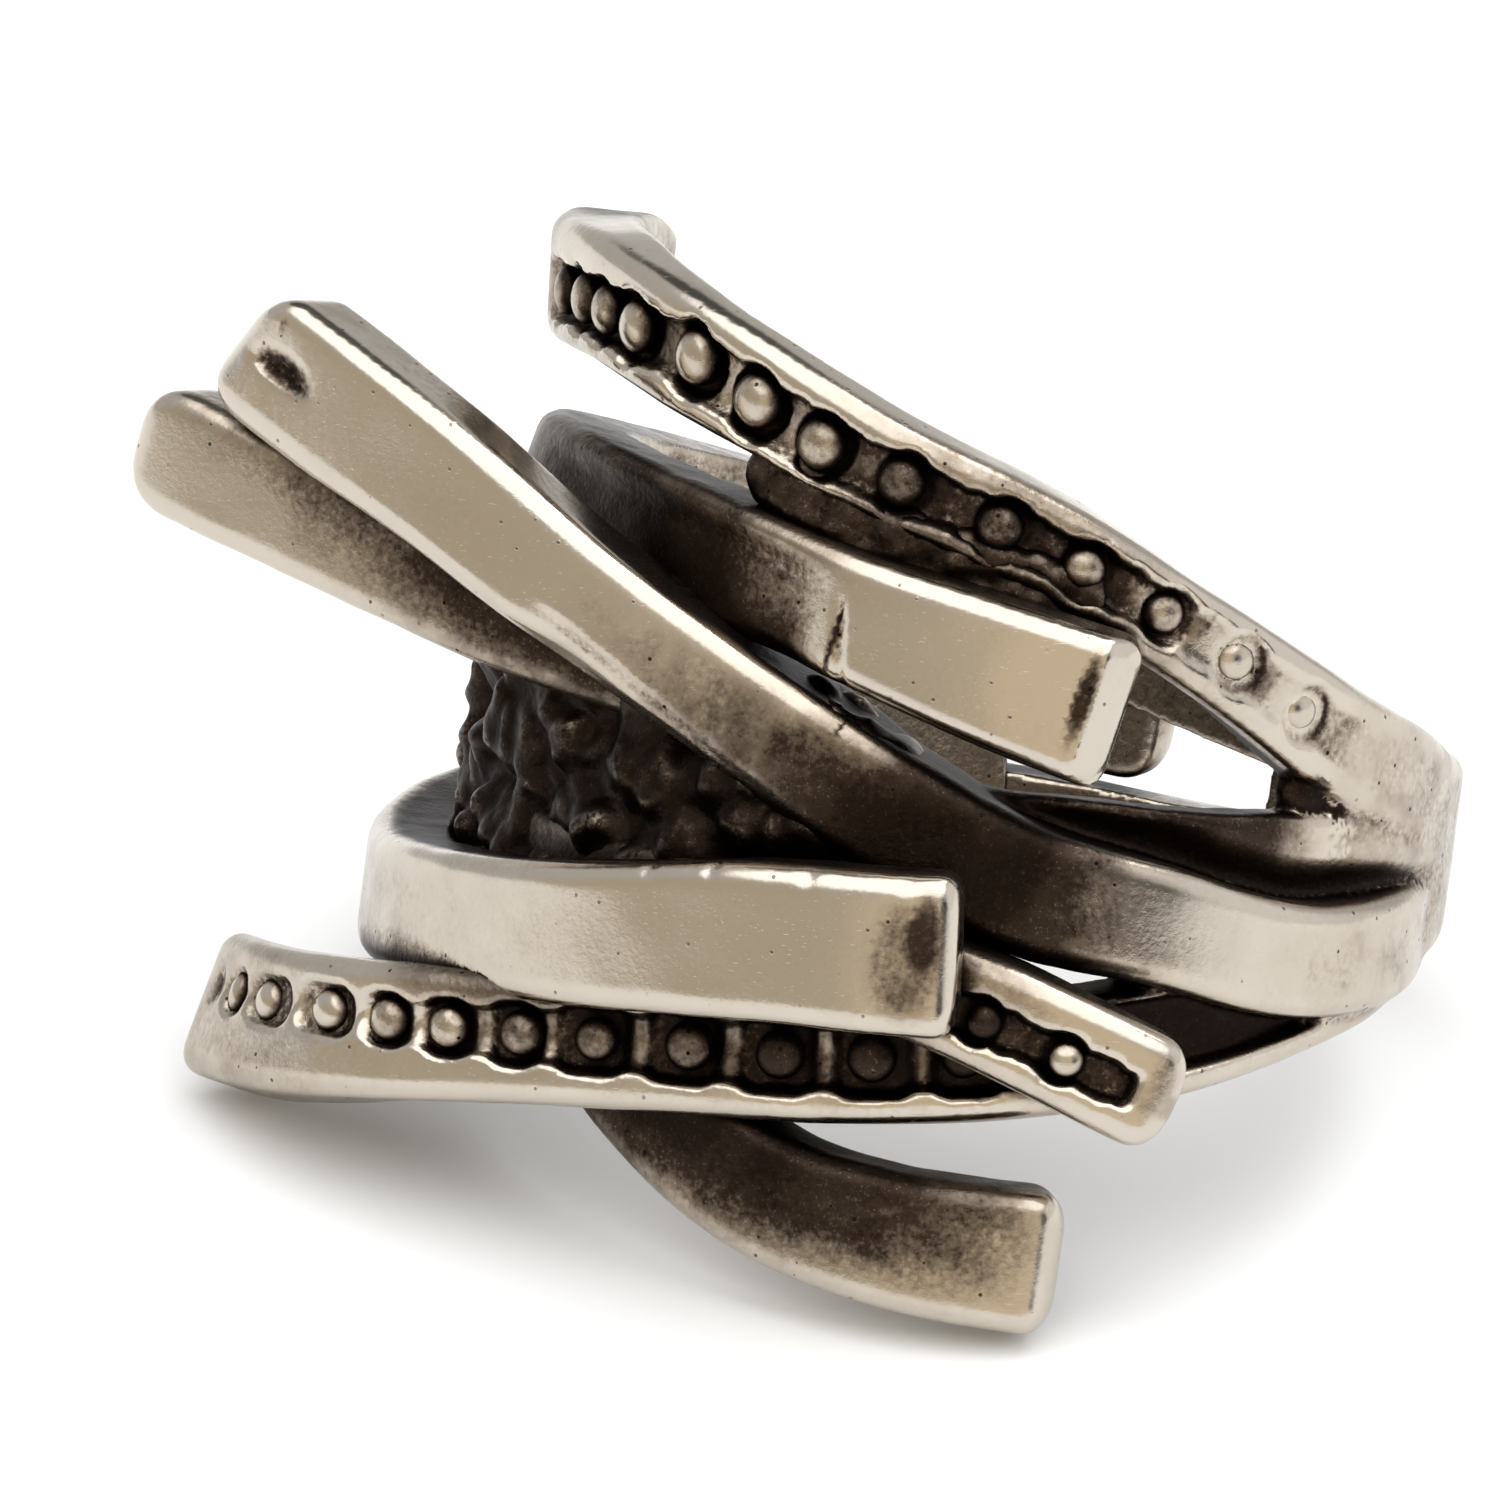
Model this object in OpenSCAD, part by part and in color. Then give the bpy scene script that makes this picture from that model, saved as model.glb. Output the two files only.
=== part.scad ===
// Brutalist finger ring of cast metal: a narrow shank that splits into crossing bars with free ends.
// The bore's middle is the origin. The ring lies on its side as it rests by itself, +Z up, with the
// shank toward +X and the crown toward -X, so the bore's axis leans away from +Z by the two leans.

/* [Finger bore] */
// Radius of the finger bore
bore_r = 9; // [8:0.1:10.5]
// Radial room between the bore and the inner faces of the bars
bar_clear = 0.15; // [0.1:0.05:0.3]

/* [Core ring] */
// Top of the core ring above the bore's middle
core_top = 1.2; // [0.8:0.1:1.5]
// Bottom of the core ring below the bore's middle
core_bottom = 2.2; // [1.8:0.1:2.4]
// Wall of the core ring
core_wall = 1.2; // [1:0.1:1.4]

/* [Notch in the back of the core ring] */
// Where the notch is, in degrees round from the shank
notch_around = -65; // [-66:1:-64]
// Width of the notch along the ring
notch_w = 6.8; // [6:0.1:7]
// Bottom of the notch below the bore's middle
notch_bottom = 1.6; // [1.4:0.1:1.7]

/* [How it rests] */
// Lean of the bore's axis toward the back, in degrees
lean_back = 19; // [18:0.1:20]
// Lean of the bore's axis toward the shank, in degrees
lean_side = 5; // [4:0.1:6]

/* [Finish] */
// Chamfer along the bars' outer edges
outer_chamfer = 0.4; // [0.2:0.05:0.5]
// Chamfer along the bars' inner edges
inner_chamfer = 0.25; // [0.1:0.05:0.4]
// Stations from one row of a bar's table to the next
steps = 3; // [2:1:4]

/* [Hidden] */
$fn = 96;
metal = "#b8b09c";

// The columns of a bar's table, one row for each section of it. Around is in degrees from the middle
// of the shank, by the front to the crown. Up, stand, wide and thick are in mm: stand is the outer
// face's height over the bore, and the bar is thick inward from there. Roll turns the outer face up.
AROUND = 0;
UP = 1;
STAND = 2;
WIDE = 3;
THICK = 4;
ROLL = 5;

shank = [
    [-44, -0.3, 1.3, 5.6, 1.8, 0],
    [-22, -0.35, 1.4, 4.5, 1.9, 0],
    [0, -0.15, 1.4, 4.1, 1.9, 0],
    [24, 0.0, 1.4, 5.4, 1.9, 0],
    [46, -0.1, 1.3, 7.4, 1.8, 0],
];

upper_beaded_bar = [
    [8, 1.0, 1.1, 2.4, 1.6, 0],
    [26, 1.6, 1.4, 2.7, 1.9, 0],
    [46, 2.8, 1.5, 2.5, 2.0, -3],
    [68, 4.7, 1.6, 2.2, 2.0, -6],
    [90, 6.6, 1.9, 2.2, 1.6, -7],
    [112, 8.0, 2.3, 2.3, 1.5, -6],
    [134, 9.4, 2.6, 2.7, 1.2, -6],
    [156, 10.3, 2.7, 2.9, 1.6, -6],
    [178, 10.3, 2.6, 2.9, 2.1, -4],
    [192, 10.3, 2.5, 2.7, 2.2, -2],
    [205, 9.9, 2.4, 2.4, 2.0, 0],
];

main_bar = [
    [12, -1.5, 1.1, 2.4, 1.6, 0],
    [30, -1.9, 1.6, 2.6, 2.1, 0],
    [52, -2.0, 2.0, 2.6, 2.5, 0],
    [72, -1.3, 2.3, 2.7, 2.8, 0],
    [90, -0.7, 2.6, 2.9, 3.1, 0],
    [108, 0.8, 2.9, 2.8, 3.4, 0],
    [124, 2.4, 3.5, 2.6, 3.0, 0],
    [138, 4.1, 4.9, 2.7, 2.4, 0],
    [150, 6.0, 6.8, 3.0, 2.1, 0],
    [160, 7.4, 8.6, 3.3, 2.0, 0],
    [168, 8.5, 10.2, 3.3, 1.9, 0],
];

side_bar = [
    [118, 1.7, 1.8, 1.8, 1.2, 0],
    [134, 2.4, 2.7, 2.0, 1.7, 0],
    [150, 3.2, 4.6, 2.4, 1.8, 0],
    [164, 4.4, 7.6, 2.8, 1.8, 0],
    [177, 5.7, 11.8, 3.0, 1.8, 0],
];

plate_bar = [
    [-36, 1.1, 1.1, 2.0, 1.6, 0],
    [-60, 1.8, 1.7, 2.2, 2.2, 0],
    [-85, 3.0, 2.0, 2.5, 2.5, 0],
    [-110, 3.9, 2.4, 2.5, 2.9, 0],
    [-135, 4.8, 2.6, 2.6, 3.1, 6],
    [-160, 5.6, 2.6, 2.7, 2.2, 12],
    [-182, 6.0, 2.6, 2.7, 2.2, 12],
    [-204, 5.9, 2.5, 2.8, 2.1, 8],
    [-226, 5.5, 2.6, 2.8, 2.1, 4],
    [-248, 4.7, 3.0, 2.9, 2.1, 0],
    [-262, 4.1, 3.3, 3.2, 2.0, 0],
    [-278, 3.4, 3.9, 3.4, 2.0, 0],
];

wide_bar = [
    [-36, -1.8, 1.1, 2.0, 1.6, 0],
    [-60, -2.2, 1.8, 2.2, 2.3, 0],
    [-85, -2.1, 2.3, 2.2, 2.8, 0],
    [-110, -2.2, 3.2, 2.3, 2.6, 0],
    [-135, -2.7, 4.4, 2.5, 2.2, 0],
    [-160, -3.5, 5.0, 2.7, 2.0, 0],
    [-182, -4.0, 5.1, 2.9, 2.0, 0],
    [-204, -3.7, 5.2, 3.0, 2.0, 0],
    [-226, -3.1, 5.3, 3.2, 2.0, 0],
    [-245, -2.4, 5.4, 3.5, 2.0, 0],
    [-265, -2.0, 5.6, 3.6, 2.0, 0],
];

lower_beaded_bar = [
    [12, -1.1, 1.1, 2.0, 1.6, 0],
    [30, -2.1, 1.4, 2.4, 1.9, 0],
    [50, -3.1, 1.5, 2.5, 2.0, 0],
    [70, -4.0, 1.8, 2.6, 2.3, 0],
    [90, -4.7, 2.3, 2.6, 2.8, 0],
    [108, -5.2, 2.8, 2.6, 2.3, 0],
    [126, -5.5, 3.7, 2.7, 2.2, 0],
    [140, -5.8, 5.2, 2.9, 2.2, 0],
    [152, -6.2, 6.6, 3.1, 2.2, 4],
    [164, -6.6, 7.7, 3.3, 2.2, 10],
    [177, -6.9, 8.6, 3.4, 2.2, 16],
];

short_beaded_bar = [
    [180, -2.2, 2.6, 2.4, 2.0, 0],
    [152, -2.2, 2.8, 2.4, 2.0, 0],
    [128, -2.3, 3.2, 2.4, 2.0, 0],
    [110, -2.6, 3.4, 2.4, 2.0, 0],
    [92, -3.4, 3.8, 2.5, 1.9, 0],
    [72, -4.9, 4.4, 2.6, 1.8, 0],
];

lower_bar = [
    [165, -3.4, 2.4, 2.8, 1.7, 0],
    [148, -5.0, 2.5, 2.8, 1.8, 0],
    [130, -7.0, 2.6, 2.8, 1.9, 0],
    [114, -8.3, 2.8, 2.9, 1.8, 0],
    [98, -8.8, 3.0, 3.1, 1.8, 0],
    [80, -8.9, 3.2, 3.3, 1.8, 0],
];

far_bar = [
    [-150, 2.0, 2.2, 2.4, 1.7, 0],
    [-125, 1.9, 2.0, 2.4, 1.5, 0],
    [-102, 1.4, 1.9, 2.4, 1.4, 0],
    [-84, 0.6, 1.9, 2.4, 1.4, 0],
    [-65, 0.3, 2.0, 2.4, 1.4, 0],
];

flank = [
    [84, 5.6, 1.6, 1.6, 1.2, 0],
    [98, 6.0, 1.8, 1.6, 1.3, 0],
    [112, 6.5, 2.0, 1.8, 1.4, 0],
    [122, 7.1, 2.1, 1.7, 1.4, 0],
    [130, 7.6, 2.1, 1.5, 1.4, 0],
];

crown_core = [
    [100, 0.4, 2.4, 3.0, 2.8, 0],
    [122, 0.6, 2.8, 5.0, 3.2, 0],
    [146, 0.8, 3.0, 6.6, 3.4, 0],
    [170, 0.8, 3.0, 7.6, 3.4, 0],
    [195, 0.8, 3.0, 7.6, 3.4, 0],
    [220, 0.8, 2.8, 6.6, 3.2, 0],
    [245, 0.9, 2.2, 5.0, 2.6, 0],
];

// How far a cut reaches past the metal that it cuts
past = 1;

// Half the height of the finger bore's cut, more than any bar reaches up or down
bore_cut = 20;

// Share of a table's step over which a bar's direction is measured, to either side
ahead = 0.02;

// A free end draws in over this far, in mm, to this share of its section
END_ROUND = [[0.45, 1], [0.2, 0.92], [0.05, 0.8], [0, 0.66]];

function unit(v) = v / norm(v);

// A row of the table at any place between its rows, on a smooth curve through them
function row_at(rows, s) =
    let (
        last = len(rows) - 1,
        j = max(0, min(floor(s), last - 1)),
        f = s - j,
        b = rows[j],
        c = rows[j + 1],
        a = j > 0 ? rows[j - 1] : 2 * b - c,
        d = j + 1 < last ? rows[j + 2] : 2 * c - b
    )
    (2 * b + (c - a) * f + (2 * a - 5 * b + 4 * c - d) * f * f + (3 * b - a - 3 * c + d) * f * f * f) / 2;

function place(row) =
    let (out = bore_r + row[STAND])
    [out * cos(row[AROUND]), -out * sin(row[AROUND]), row[UP]];

// The section's outline, across the bar and inward from its outer face
function outline(wide, thick) =
    let (w = wide / 2, o = outer_chamfer, i = inner_chamfer)
    [
        [w - o, 0], [w, -o], [w, i - thick], [w - i, -thick],
        [i - w, -thick], [-w, i - thick], [-w, -o], [o - w, 0],
    ];

// One section of a bar as points in space, drawn in by share toward its own middle
function section(rows, s, share) =
    let (
        row = row_at(rows, s),
        here = place(row),
        along = unit(place(row_at(rows, s + ahead)) - place(row_at(rows, s - ahead))),
        radial = [cos(row[AROUND]), -sin(row[AROUND]), 0],
        up = unit([0, 0, 1] - along * along[2]),
        flat = cross(along, up),
        face = flat * radial > 0 ? flat : -flat,
        across = up * cos(row[ROLL]) - face * sin(row[ROLL]),
        outward = face * cos(row[ROLL]) + up * sin(row[ROLL]),
        middle = -row[THICK] / 2
    )
    [
        for (q = outline(row[WIDE], row[THICK]))
            here + across * q[0] * share + outward * (middle + (q[1] - middle) * share)
    ];

// A bar swept through its table. A root is buried in the metal and stays square, a free end is rounded.
module bar(rows, free_start = false, free_end = true) {
    last = len(rows) - 1;
    first_mm = norm(place(rows[1]) - place(rows[0]));
    last_mm = norm(place(rows[last]) - place(rows[last - 1]));
    start = free_start ? END_ROUND[0][0] / first_mm : 0;
    end = free_end ? last - END_ROUND[0][0] / last_mm : last;
    count = last * steps;
    stops = concat(
        free_start ? [for (k = [len(END_ROUND) - 1:-1:1]) [END_ROUND[k][0] / first_mm, END_ROUND[k][1]]] : [],
        [for (k = [0:count]) [start + (end - start) * k / count, 1]],
        free_end ? [for (k = [1:len(END_ROUND) - 1]) [last - END_ROUND[k][0] / last_mm, END_ROUND[k][1]]] : []
    );
    sections = [for (stop = stops) section(rows, stop[0], stop[1])];
    sides = len(sections[0]);
    ends = len(sections) - 1;
    forward = rows[1][AROUND] < rows[0][AROUND];
    skin = concat(
        [for (k = [0:ends - 1], j = [0:sides - 1])
            [k * sides + j, k * sides + (j + 1) % sides,
             (k + 1) * sides + (j + 1) % sides, (k + 1) * sides + j]],
        [[for (j = [sides - 1:-1:0]) j]],
        [[for (j = [0:sides - 1]) ends * sides + j]]
    );
    faces = forward ? skin : [for (f = skin) [for (j = [len(f) - 1:-1:0]) f[j]]];
    polyhedron([for (ring = sections) each ring], faces, convexity = 6);
}

// The finger side of the ring: a round wall that every bar and the shank grow out of
module core_ring() {
    difference() {
        translate([0, 0, -core_bottom])
            cylinder(h = core_bottom + core_top, r = bore_r + core_wall);
        translate([0, 0, -core_bottom - past])
            cylinder(h = core_bottom + core_top + 2 * past, r = bore_r);
        rotate([0, 0, -notch_around])
            translate([bore_r - past, -notch_w / 2, -notch_bottom])
                cube([core_wall + 2 * past, notch_w, notch_bottom + core_top + past]);
    }
}

module bars() {
    bar(shank, free_end = false);
    bar(upper_beaded_bar);
    bar(main_bar);
    bar(side_bar);
    bar(plate_bar);
    bar(wide_bar);
    bar(lower_beaded_bar);
    bar(short_beaded_bar);
    bar(lower_bar);
    bar(far_bar);
    bar(flank);
    bar(crown_core, free_start = true);
}

module ring() {
    color(metal)
        rotate([-lean_back, lean_side, 0]) {
            difference() {
                bars();
                translate([0, 0, -bore_cut])
                    cylinder(h = 2 * bore_cut, r = bore_r + bar_clear);
            }
            core_ring();
        }
}

ring();
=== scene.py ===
# %% [markdown]
# # A cast finger ring of crossing bars
#
# The ring is one casting: a narrow shank splits into bars that cross over the crown and end free. Three of
# the bars carry a channel of small beads. It was silver plated, dipped to turn it black, and then polished
# by hand, so the raised faces are pale and satin while every recess stays dark.
#
# The shape comes from the same short tables as the construction model: a row for each section of a bar. Each
# bar is swept finely through its table, its outer face is carved as a height field, and a voxel remesh
# turns the result into an even skin with the soft corners that a casting has.

import math

import bpy
import numpy as np
from mathutils import Matrix, Vector, kdtree


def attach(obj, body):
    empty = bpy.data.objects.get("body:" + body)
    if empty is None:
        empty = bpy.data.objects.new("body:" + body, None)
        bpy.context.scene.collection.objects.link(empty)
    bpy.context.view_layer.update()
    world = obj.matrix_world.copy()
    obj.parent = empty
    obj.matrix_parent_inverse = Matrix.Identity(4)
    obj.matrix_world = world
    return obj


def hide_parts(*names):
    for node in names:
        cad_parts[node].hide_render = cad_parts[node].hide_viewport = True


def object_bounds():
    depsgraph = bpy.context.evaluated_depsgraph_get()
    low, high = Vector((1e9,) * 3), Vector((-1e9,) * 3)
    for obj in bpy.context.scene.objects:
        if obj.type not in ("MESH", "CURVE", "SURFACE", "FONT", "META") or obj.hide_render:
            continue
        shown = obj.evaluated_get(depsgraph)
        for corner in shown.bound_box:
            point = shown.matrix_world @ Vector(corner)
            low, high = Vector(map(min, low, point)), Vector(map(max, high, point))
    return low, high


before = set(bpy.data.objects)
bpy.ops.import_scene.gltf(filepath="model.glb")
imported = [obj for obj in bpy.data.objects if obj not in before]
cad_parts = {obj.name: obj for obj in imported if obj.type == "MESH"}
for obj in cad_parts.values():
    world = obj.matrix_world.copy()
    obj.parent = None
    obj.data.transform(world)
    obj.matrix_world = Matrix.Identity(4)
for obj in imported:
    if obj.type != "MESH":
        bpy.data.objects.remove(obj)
cad_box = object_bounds()
MM = 0.001
FLOOR_Z = cad_box[0][2]
print("CAD box in mm:", [[round(x / MM, 2) for x in corner] for corner in cad_box])

# %% [markdown]
# ## The ring's own directions
#
# The tables speak of a place by how far round the finger it is, how far up the finger and how far out. The
# ring lies on its side, so its finger axis leans from the vertical, and everything is turned by two leans.

# %% From the ring's directions to the world
BORE_R = 9.0
LEAN_BACK = math.radians(19)
LEAN_SIDE = math.radians(5)
AROUND, UP, STAND, WIDE, THICK, ROLL = range(6)

lean = np.array(Matrix.Rotation(LEAN_SIDE, 3, "Y") @ Matrix.Rotation(-LEAN_BACK, 3, "X"))


def to_world(points):
    """Points in the ring's directions, in mm, as world points in metres."""
    return points @ lean.T * MM


def smooth(x, low, high):
    """0 below low, 1 above high, and an even ease between them. It falls where low is the larger."""
    t = np.clip((x - low) / (high - low), 0, 1)
    return t * t * (3 - 2 * t)


print("the finger axis leans", round(math.degrees(math.acos(lean[2][2])), 1), "degrees")

# %% [markdown]
# ## The tables of the bars
#
# The same rows as in the construction model. Around is in degrees from the middle of the shank by the front
# to the crown, up and the rest in mm. Stand is the outer face's height over the finger bore, and roll turns
# the outer face up.

# %% Sections of every bar
BARS = {
    "shank": [
        [-44, -0.3, 1.3, 5.6, 1.8, 0],
        [-22, -0.35, 1.4, 4.5, 1.9, 0],
        [0, -0.15, 1.4, 4.1, 1.9, 0],
        [24, 0.0, 1.4, 5.4, 1.9, 0],
        [46, -0.1, 1.3, 7.4, 1.8, 0],
    ],
    "upper_beaded_bar": [
        [8, 1.0, 1.1, 2.4, 1.6, 0],
        [26, 1.6, 1.4, 2.7, 1.9, 0],
        [46, 2.8, 1.5, 2.5, 2.0, -3],
        [68, 4.7, 1.6, 2.2, 2.0, -6],
        [90, 6.6, 1.9, 2.2, 1.6, -7],
        [112, 8.0, 2.3, 2.3, 1.5, -6],
        [134, 9.4, 2.6, 2.7, 1.2, -6],
        [156, 10.3, 2.7, 2.9, 1.6, -6],
        [178, 10.3, 2.6, 2.9, 2.1, -4],
        [192, 10.3, 2.5, 2.7, 2.2, -2],
        [205, 9.9, 2.4, 2.4, 2.0, 0],
    ],
    "main_bar": [
        [12, -1.5, 1.1, 2.4, 1.6, 0],
        [30, -1.9, 1.6, 2.6, 2.1, 0],
        [52, -2.0, 2.0, 2.6, 2.5, 0],
        [72, -1.3, 2.3, 2.7, 2.8, 0],
        [90, -0.7, 2.6, 2.9, 3.1, 0],
        [108, 0.8, 2.9, 2.8, 3.4, 0],
        [124, 2.4, 3.5, 2.6, 3.0, 0],
        [138, 4.1, 4.9, 2.7, 2.4, 0],
        [150, 6.0, 6.8, 3.0, 2.1, 0],
        [160, 7.4, 8.6, 3.3, 2.0, 0],
        [168, 8.5, 10.2, 3.3, 1.9, 0],
    ],
    "side_bar": [
        [118, 1.7, 1.8, 1.8, 1.2, 0],
        [134, 2.4, 2.7, 2.0, 1.7, 0],
        [150, 3.2, 4.6, 2.4, 1.8, 0],
        [164, 4.4, 7.6, 2.8, 1.8, 0],
        [177, 5.7, 11.8, 3.0, 1.8, 0],
    ],
    "plate_bar": [
        [-36, 1.1, 1.1, 2.0, 1.6, 0],
        [-60, 1.8, 1.7, 2.2, 2.2, 0],
        [-85, 3.0, 2.0, 2.5, 2.5, 0],
        [-110, 3.9, 2.4, 2.5, 2.9, 0],
        [-135, 4.8, 2.6, 2.6, 3.1, 6],
        [-160, 5.6, 2.6, 2.7, 2.2, 12],
        [-182, 6.0, 2.6, 2.7, 2.2, 12],
        [-204, 5.9, 2.5, 2.8, 2.1, 8],
        [-226, 5.5, 2.6, 2.8, 2.1, 4],
        [-248, 4.7, 3.0, 2.9, 2.1, 0],
        [-262, 4.1, 3.3, 3.2, 2.0, 0],
        [-278, 3.4, 3.9, 3.4, 2.0, 0],
    ],
    "wide_bar": [
        [-36, -1.8, 1.1, 2.0, 1.6, 0],
        [-60, -2.2, 1.8, 2.2, 2.3, 0],
        [-85, -2.1, 2.3, 2.2, 2.8, 0],
        [-110, -2.2, 3.2, 2.3, 2.6, 0],
        [-135, -2.7, 4.4, 2.5, 2.2, 0],
        [-160, -3.5, 5.0, 2.7, 2.0, 0],
        [-182, -4.0, 5.1, 2.9, 2.0, 0],
        [-204, -3.7, 5.2, 3.0, 2.0, 0],
        [-226, -3.1, 5.3, 3.2, 2.0, 0],
        [-245, -2.4, 5.4, 3.5, 2.0, 0],
        [-265, -2.0, 5.6, 3.6, 2.0, 0],
    ],
    "lower_beaded_bar": [
        [12, -1.1, 1.1, 2.0, 1.6, 0],
        [30, -2.1, 1.4, 2.4, 1.9, 0],
        [50, -3.1, 1.5, 2.5, 2.0, 0],
        [70, -4.0, 1.8, 2.6, 2.3, 0],
        [90, -4.7, 2.3, 2.6, 2.8, 0],
        [108, -5.2, 2.8, 2.6, 2.3, 0],
        [126, -5.5, 3.7, 2.7, 2.2, 0],
        [140, -5.8, 5.2, 2.9, 2.2, 0],
        [152, -6.2, 6.6, 3.1, 2.2, 4],
        [164, -6.6, 7.7, 3.3, 2.2, 10],
        [177, -6.9, 8.6, 3.4, 2.2, 16],
    ],
    "short_beaded_bar": [
        [180, -2.2, 2.6, 2.4, 2.0, 0],
        [152, -2.2, 2.8, 2.4, 2.0, 0],
        [128, -2.3, 3.2, 2.4, 2.0, 0],
        [110, -2.6, 3.4, 2.4, 2.0, 0],
        [92, -3.4, 3.8, 2.5, 1.9, 0],
        [72, -4.9, 4.4, 2.6, 1.8, 0],
    ],
    "lower_bar": [
        [165, -3.4, 2.4, 2.8, 1.7, 0],
        [148, -5.0, 2.5, 2.8, 1.8, 0],
        [130, -7.0, 2.6, 2.8, 1.9, 0],
        [114, -8.3, 2.8, 2.9, 1.8, 0],
        [98, -8.8, 3.0, 3.1, 1.8, 0],
        [80, -8.9, 3.2, 3.3, 1.8, 0],
    ],
    "far_bar": [
        [-150, 2.0, 2.2, 2.4, 1.7, 0],
        [-125, 1.9, 2.0, 2.4, 1.5, 0],
        [-102, 1.4, 1.9, 2.4, 1.4, 0],
        [-84, 0.6, 1.9, 2.4, 1.4, 0],
        [-65, 0.3, 2.0, 2.4, 1.4, 0],
    ],
    "flank": [
        [84, 5.6, 1.6, 1.6, 1.2, 0],
        [98, 6.0, 1.8, 1.6, 1.3, 0],
        [112, 6.5, 2.0, 1.8, 1.4, 0],
        [122, 7.1, 2.1, 1.7, 1.4, 0],
        [130, 7.6, 2.1, 1.5, 1.4, 0],
    ],
    "crown_core": [
        [100, 0.4, 2.4, 3.0, 2.8, 0],
        [122, 0.6, 2.8, 5.0, 3.2, 0],
        [146, 0.8, 3.0, 6.6, 3.4, 0],
        [170, 0.8, 3.0, 7.6, 3.4, 0],
        [195, 0.8, 3.0, 7.6, 3.4, 0],
        [220, 0.8, 2.8, 6.6, 3.2, 0],
        [245, 0.9, 2.2, 5.0, 2.6, 0],
    ],
}
print(len(BARS), "bars")

# %% [markdown]
# ## A smooth path through a table
#
# A bar bends evenly between the rows, so each column follows a Catmull-Rom curve, the same one that the
# construction model uses. The path is then walked in equal steps of real length, because carving needs
# distances in mm and not table rows.

# %% Paths
# How far ahead and back a path's direction is measured, in rows
AHEAD = 0.02


def row_at(rows, s):
    """The table's row at each place s, which counts rows from 0, on a smooth curve."""
    rows = np.array(rows, float)
    s = np.atleast_1d(s)
    last = len(rows) - 1
    j = np.clip(np.floor(s).astype(int), 0, last - 1)
    f = (s - j)[:, None]
    b, c = rows[j], rows[j + 1]
    a = np.where((j > 0)[:, None], rows[np.maximum(j - 1, 0)], 2 * b - c)
    d = np.where((j + 1 < last)[:, None], rows[np.minimum(j + 2, last)], 2 * c - b)
    bend = 2 * a - 5 * b + 4 * c - d
    return (2 * b + (c - a) * f + bend * f**2 + (3 * b - a - 3 * c + d) * f**3) / 2


def place(rows):
    """The middle of each row's outer face, in the ring's directions."""
    around = np.radians(rows[:, AROUND])
    out = BORE_R + rows[:, STAND]
    return np.stack([out * np.cos(around), -out * np.sin(around), rows[:, UP]], 1)


def directions(rows, s):
    """Across, outward and along at each place of a bar, as the construction model turns its sections."""
    along = place(row_at(rows, s + AHEAD)) - place(row_at(rows, s - AHEAD))
    along /= np.linalg.norm(along, axis=1)[:, None]
    here = row_at(rows, s)
    around = np.radians(here[:, AROUND])
    radial = np.stack([np.cos(around), -np.sin(around), 0 * around], 1)
    up = np.array([0, 0, 1]) - along * along[:, 2:]
    up /= np.linalg.norm(up, axis=1)[:, None]
    face = np.cross(along, up)
    face *= np.sign((face * radial).sum(1))[:, None]
    roll = np.radians(here[:, ROLL])[:, None]
    return up * np.cos(roll) - face * np.sin(roll), face * np.cos(roll) + up * np.sin(roll), along


class Path:
    """A bar's path with its length in mm: mm(around) finds a place, s(mm) gives the table place."""

    def __init__(self, rows):
        self.rows = rows
        self.fine = np.linspace(0, len(rows) - 1, 60 * (len(rows) - 1) + 1)
        self.table = row_at(rows, self.fine)
        steps = np.linalg.norm(np.diff(place(self.table), axis=0), axis=1)
        self.lengths = np.concatenate([[0], np.cumsum(steps)])
        self.length = self.lengths[-1]

    def s(self, mm):
        """The table place at this length."""
        return np.interp(mm, self.lengths, self.fine)

    def mm(self, around):
        """The length at this many degrees round."""
        turned = self.table[:, AROUND]
        order = 1 if turned[-1] > turned[0] else -1
        return np.interp(np.asarray(around) * order, turned * order, self.lengths)


paths = {name: Path(rows) for name, rows in BARS.items()}
print("lengths in mm:", {name: round(float(p.length), 1) for name, p in paths.items()})

# %% [markdown]
# ## Channels, beads and dividers
#
# A bead channel is a flat trench with steep walls, cut into a bar's outer face. Its depth, place and width
# change along the bar, so they stand in a short table. On two bars the wall has a round pocket at each
# bead. On the lower beaded bar dividers stand across the channel instead, so that each bead has a cell.

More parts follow.
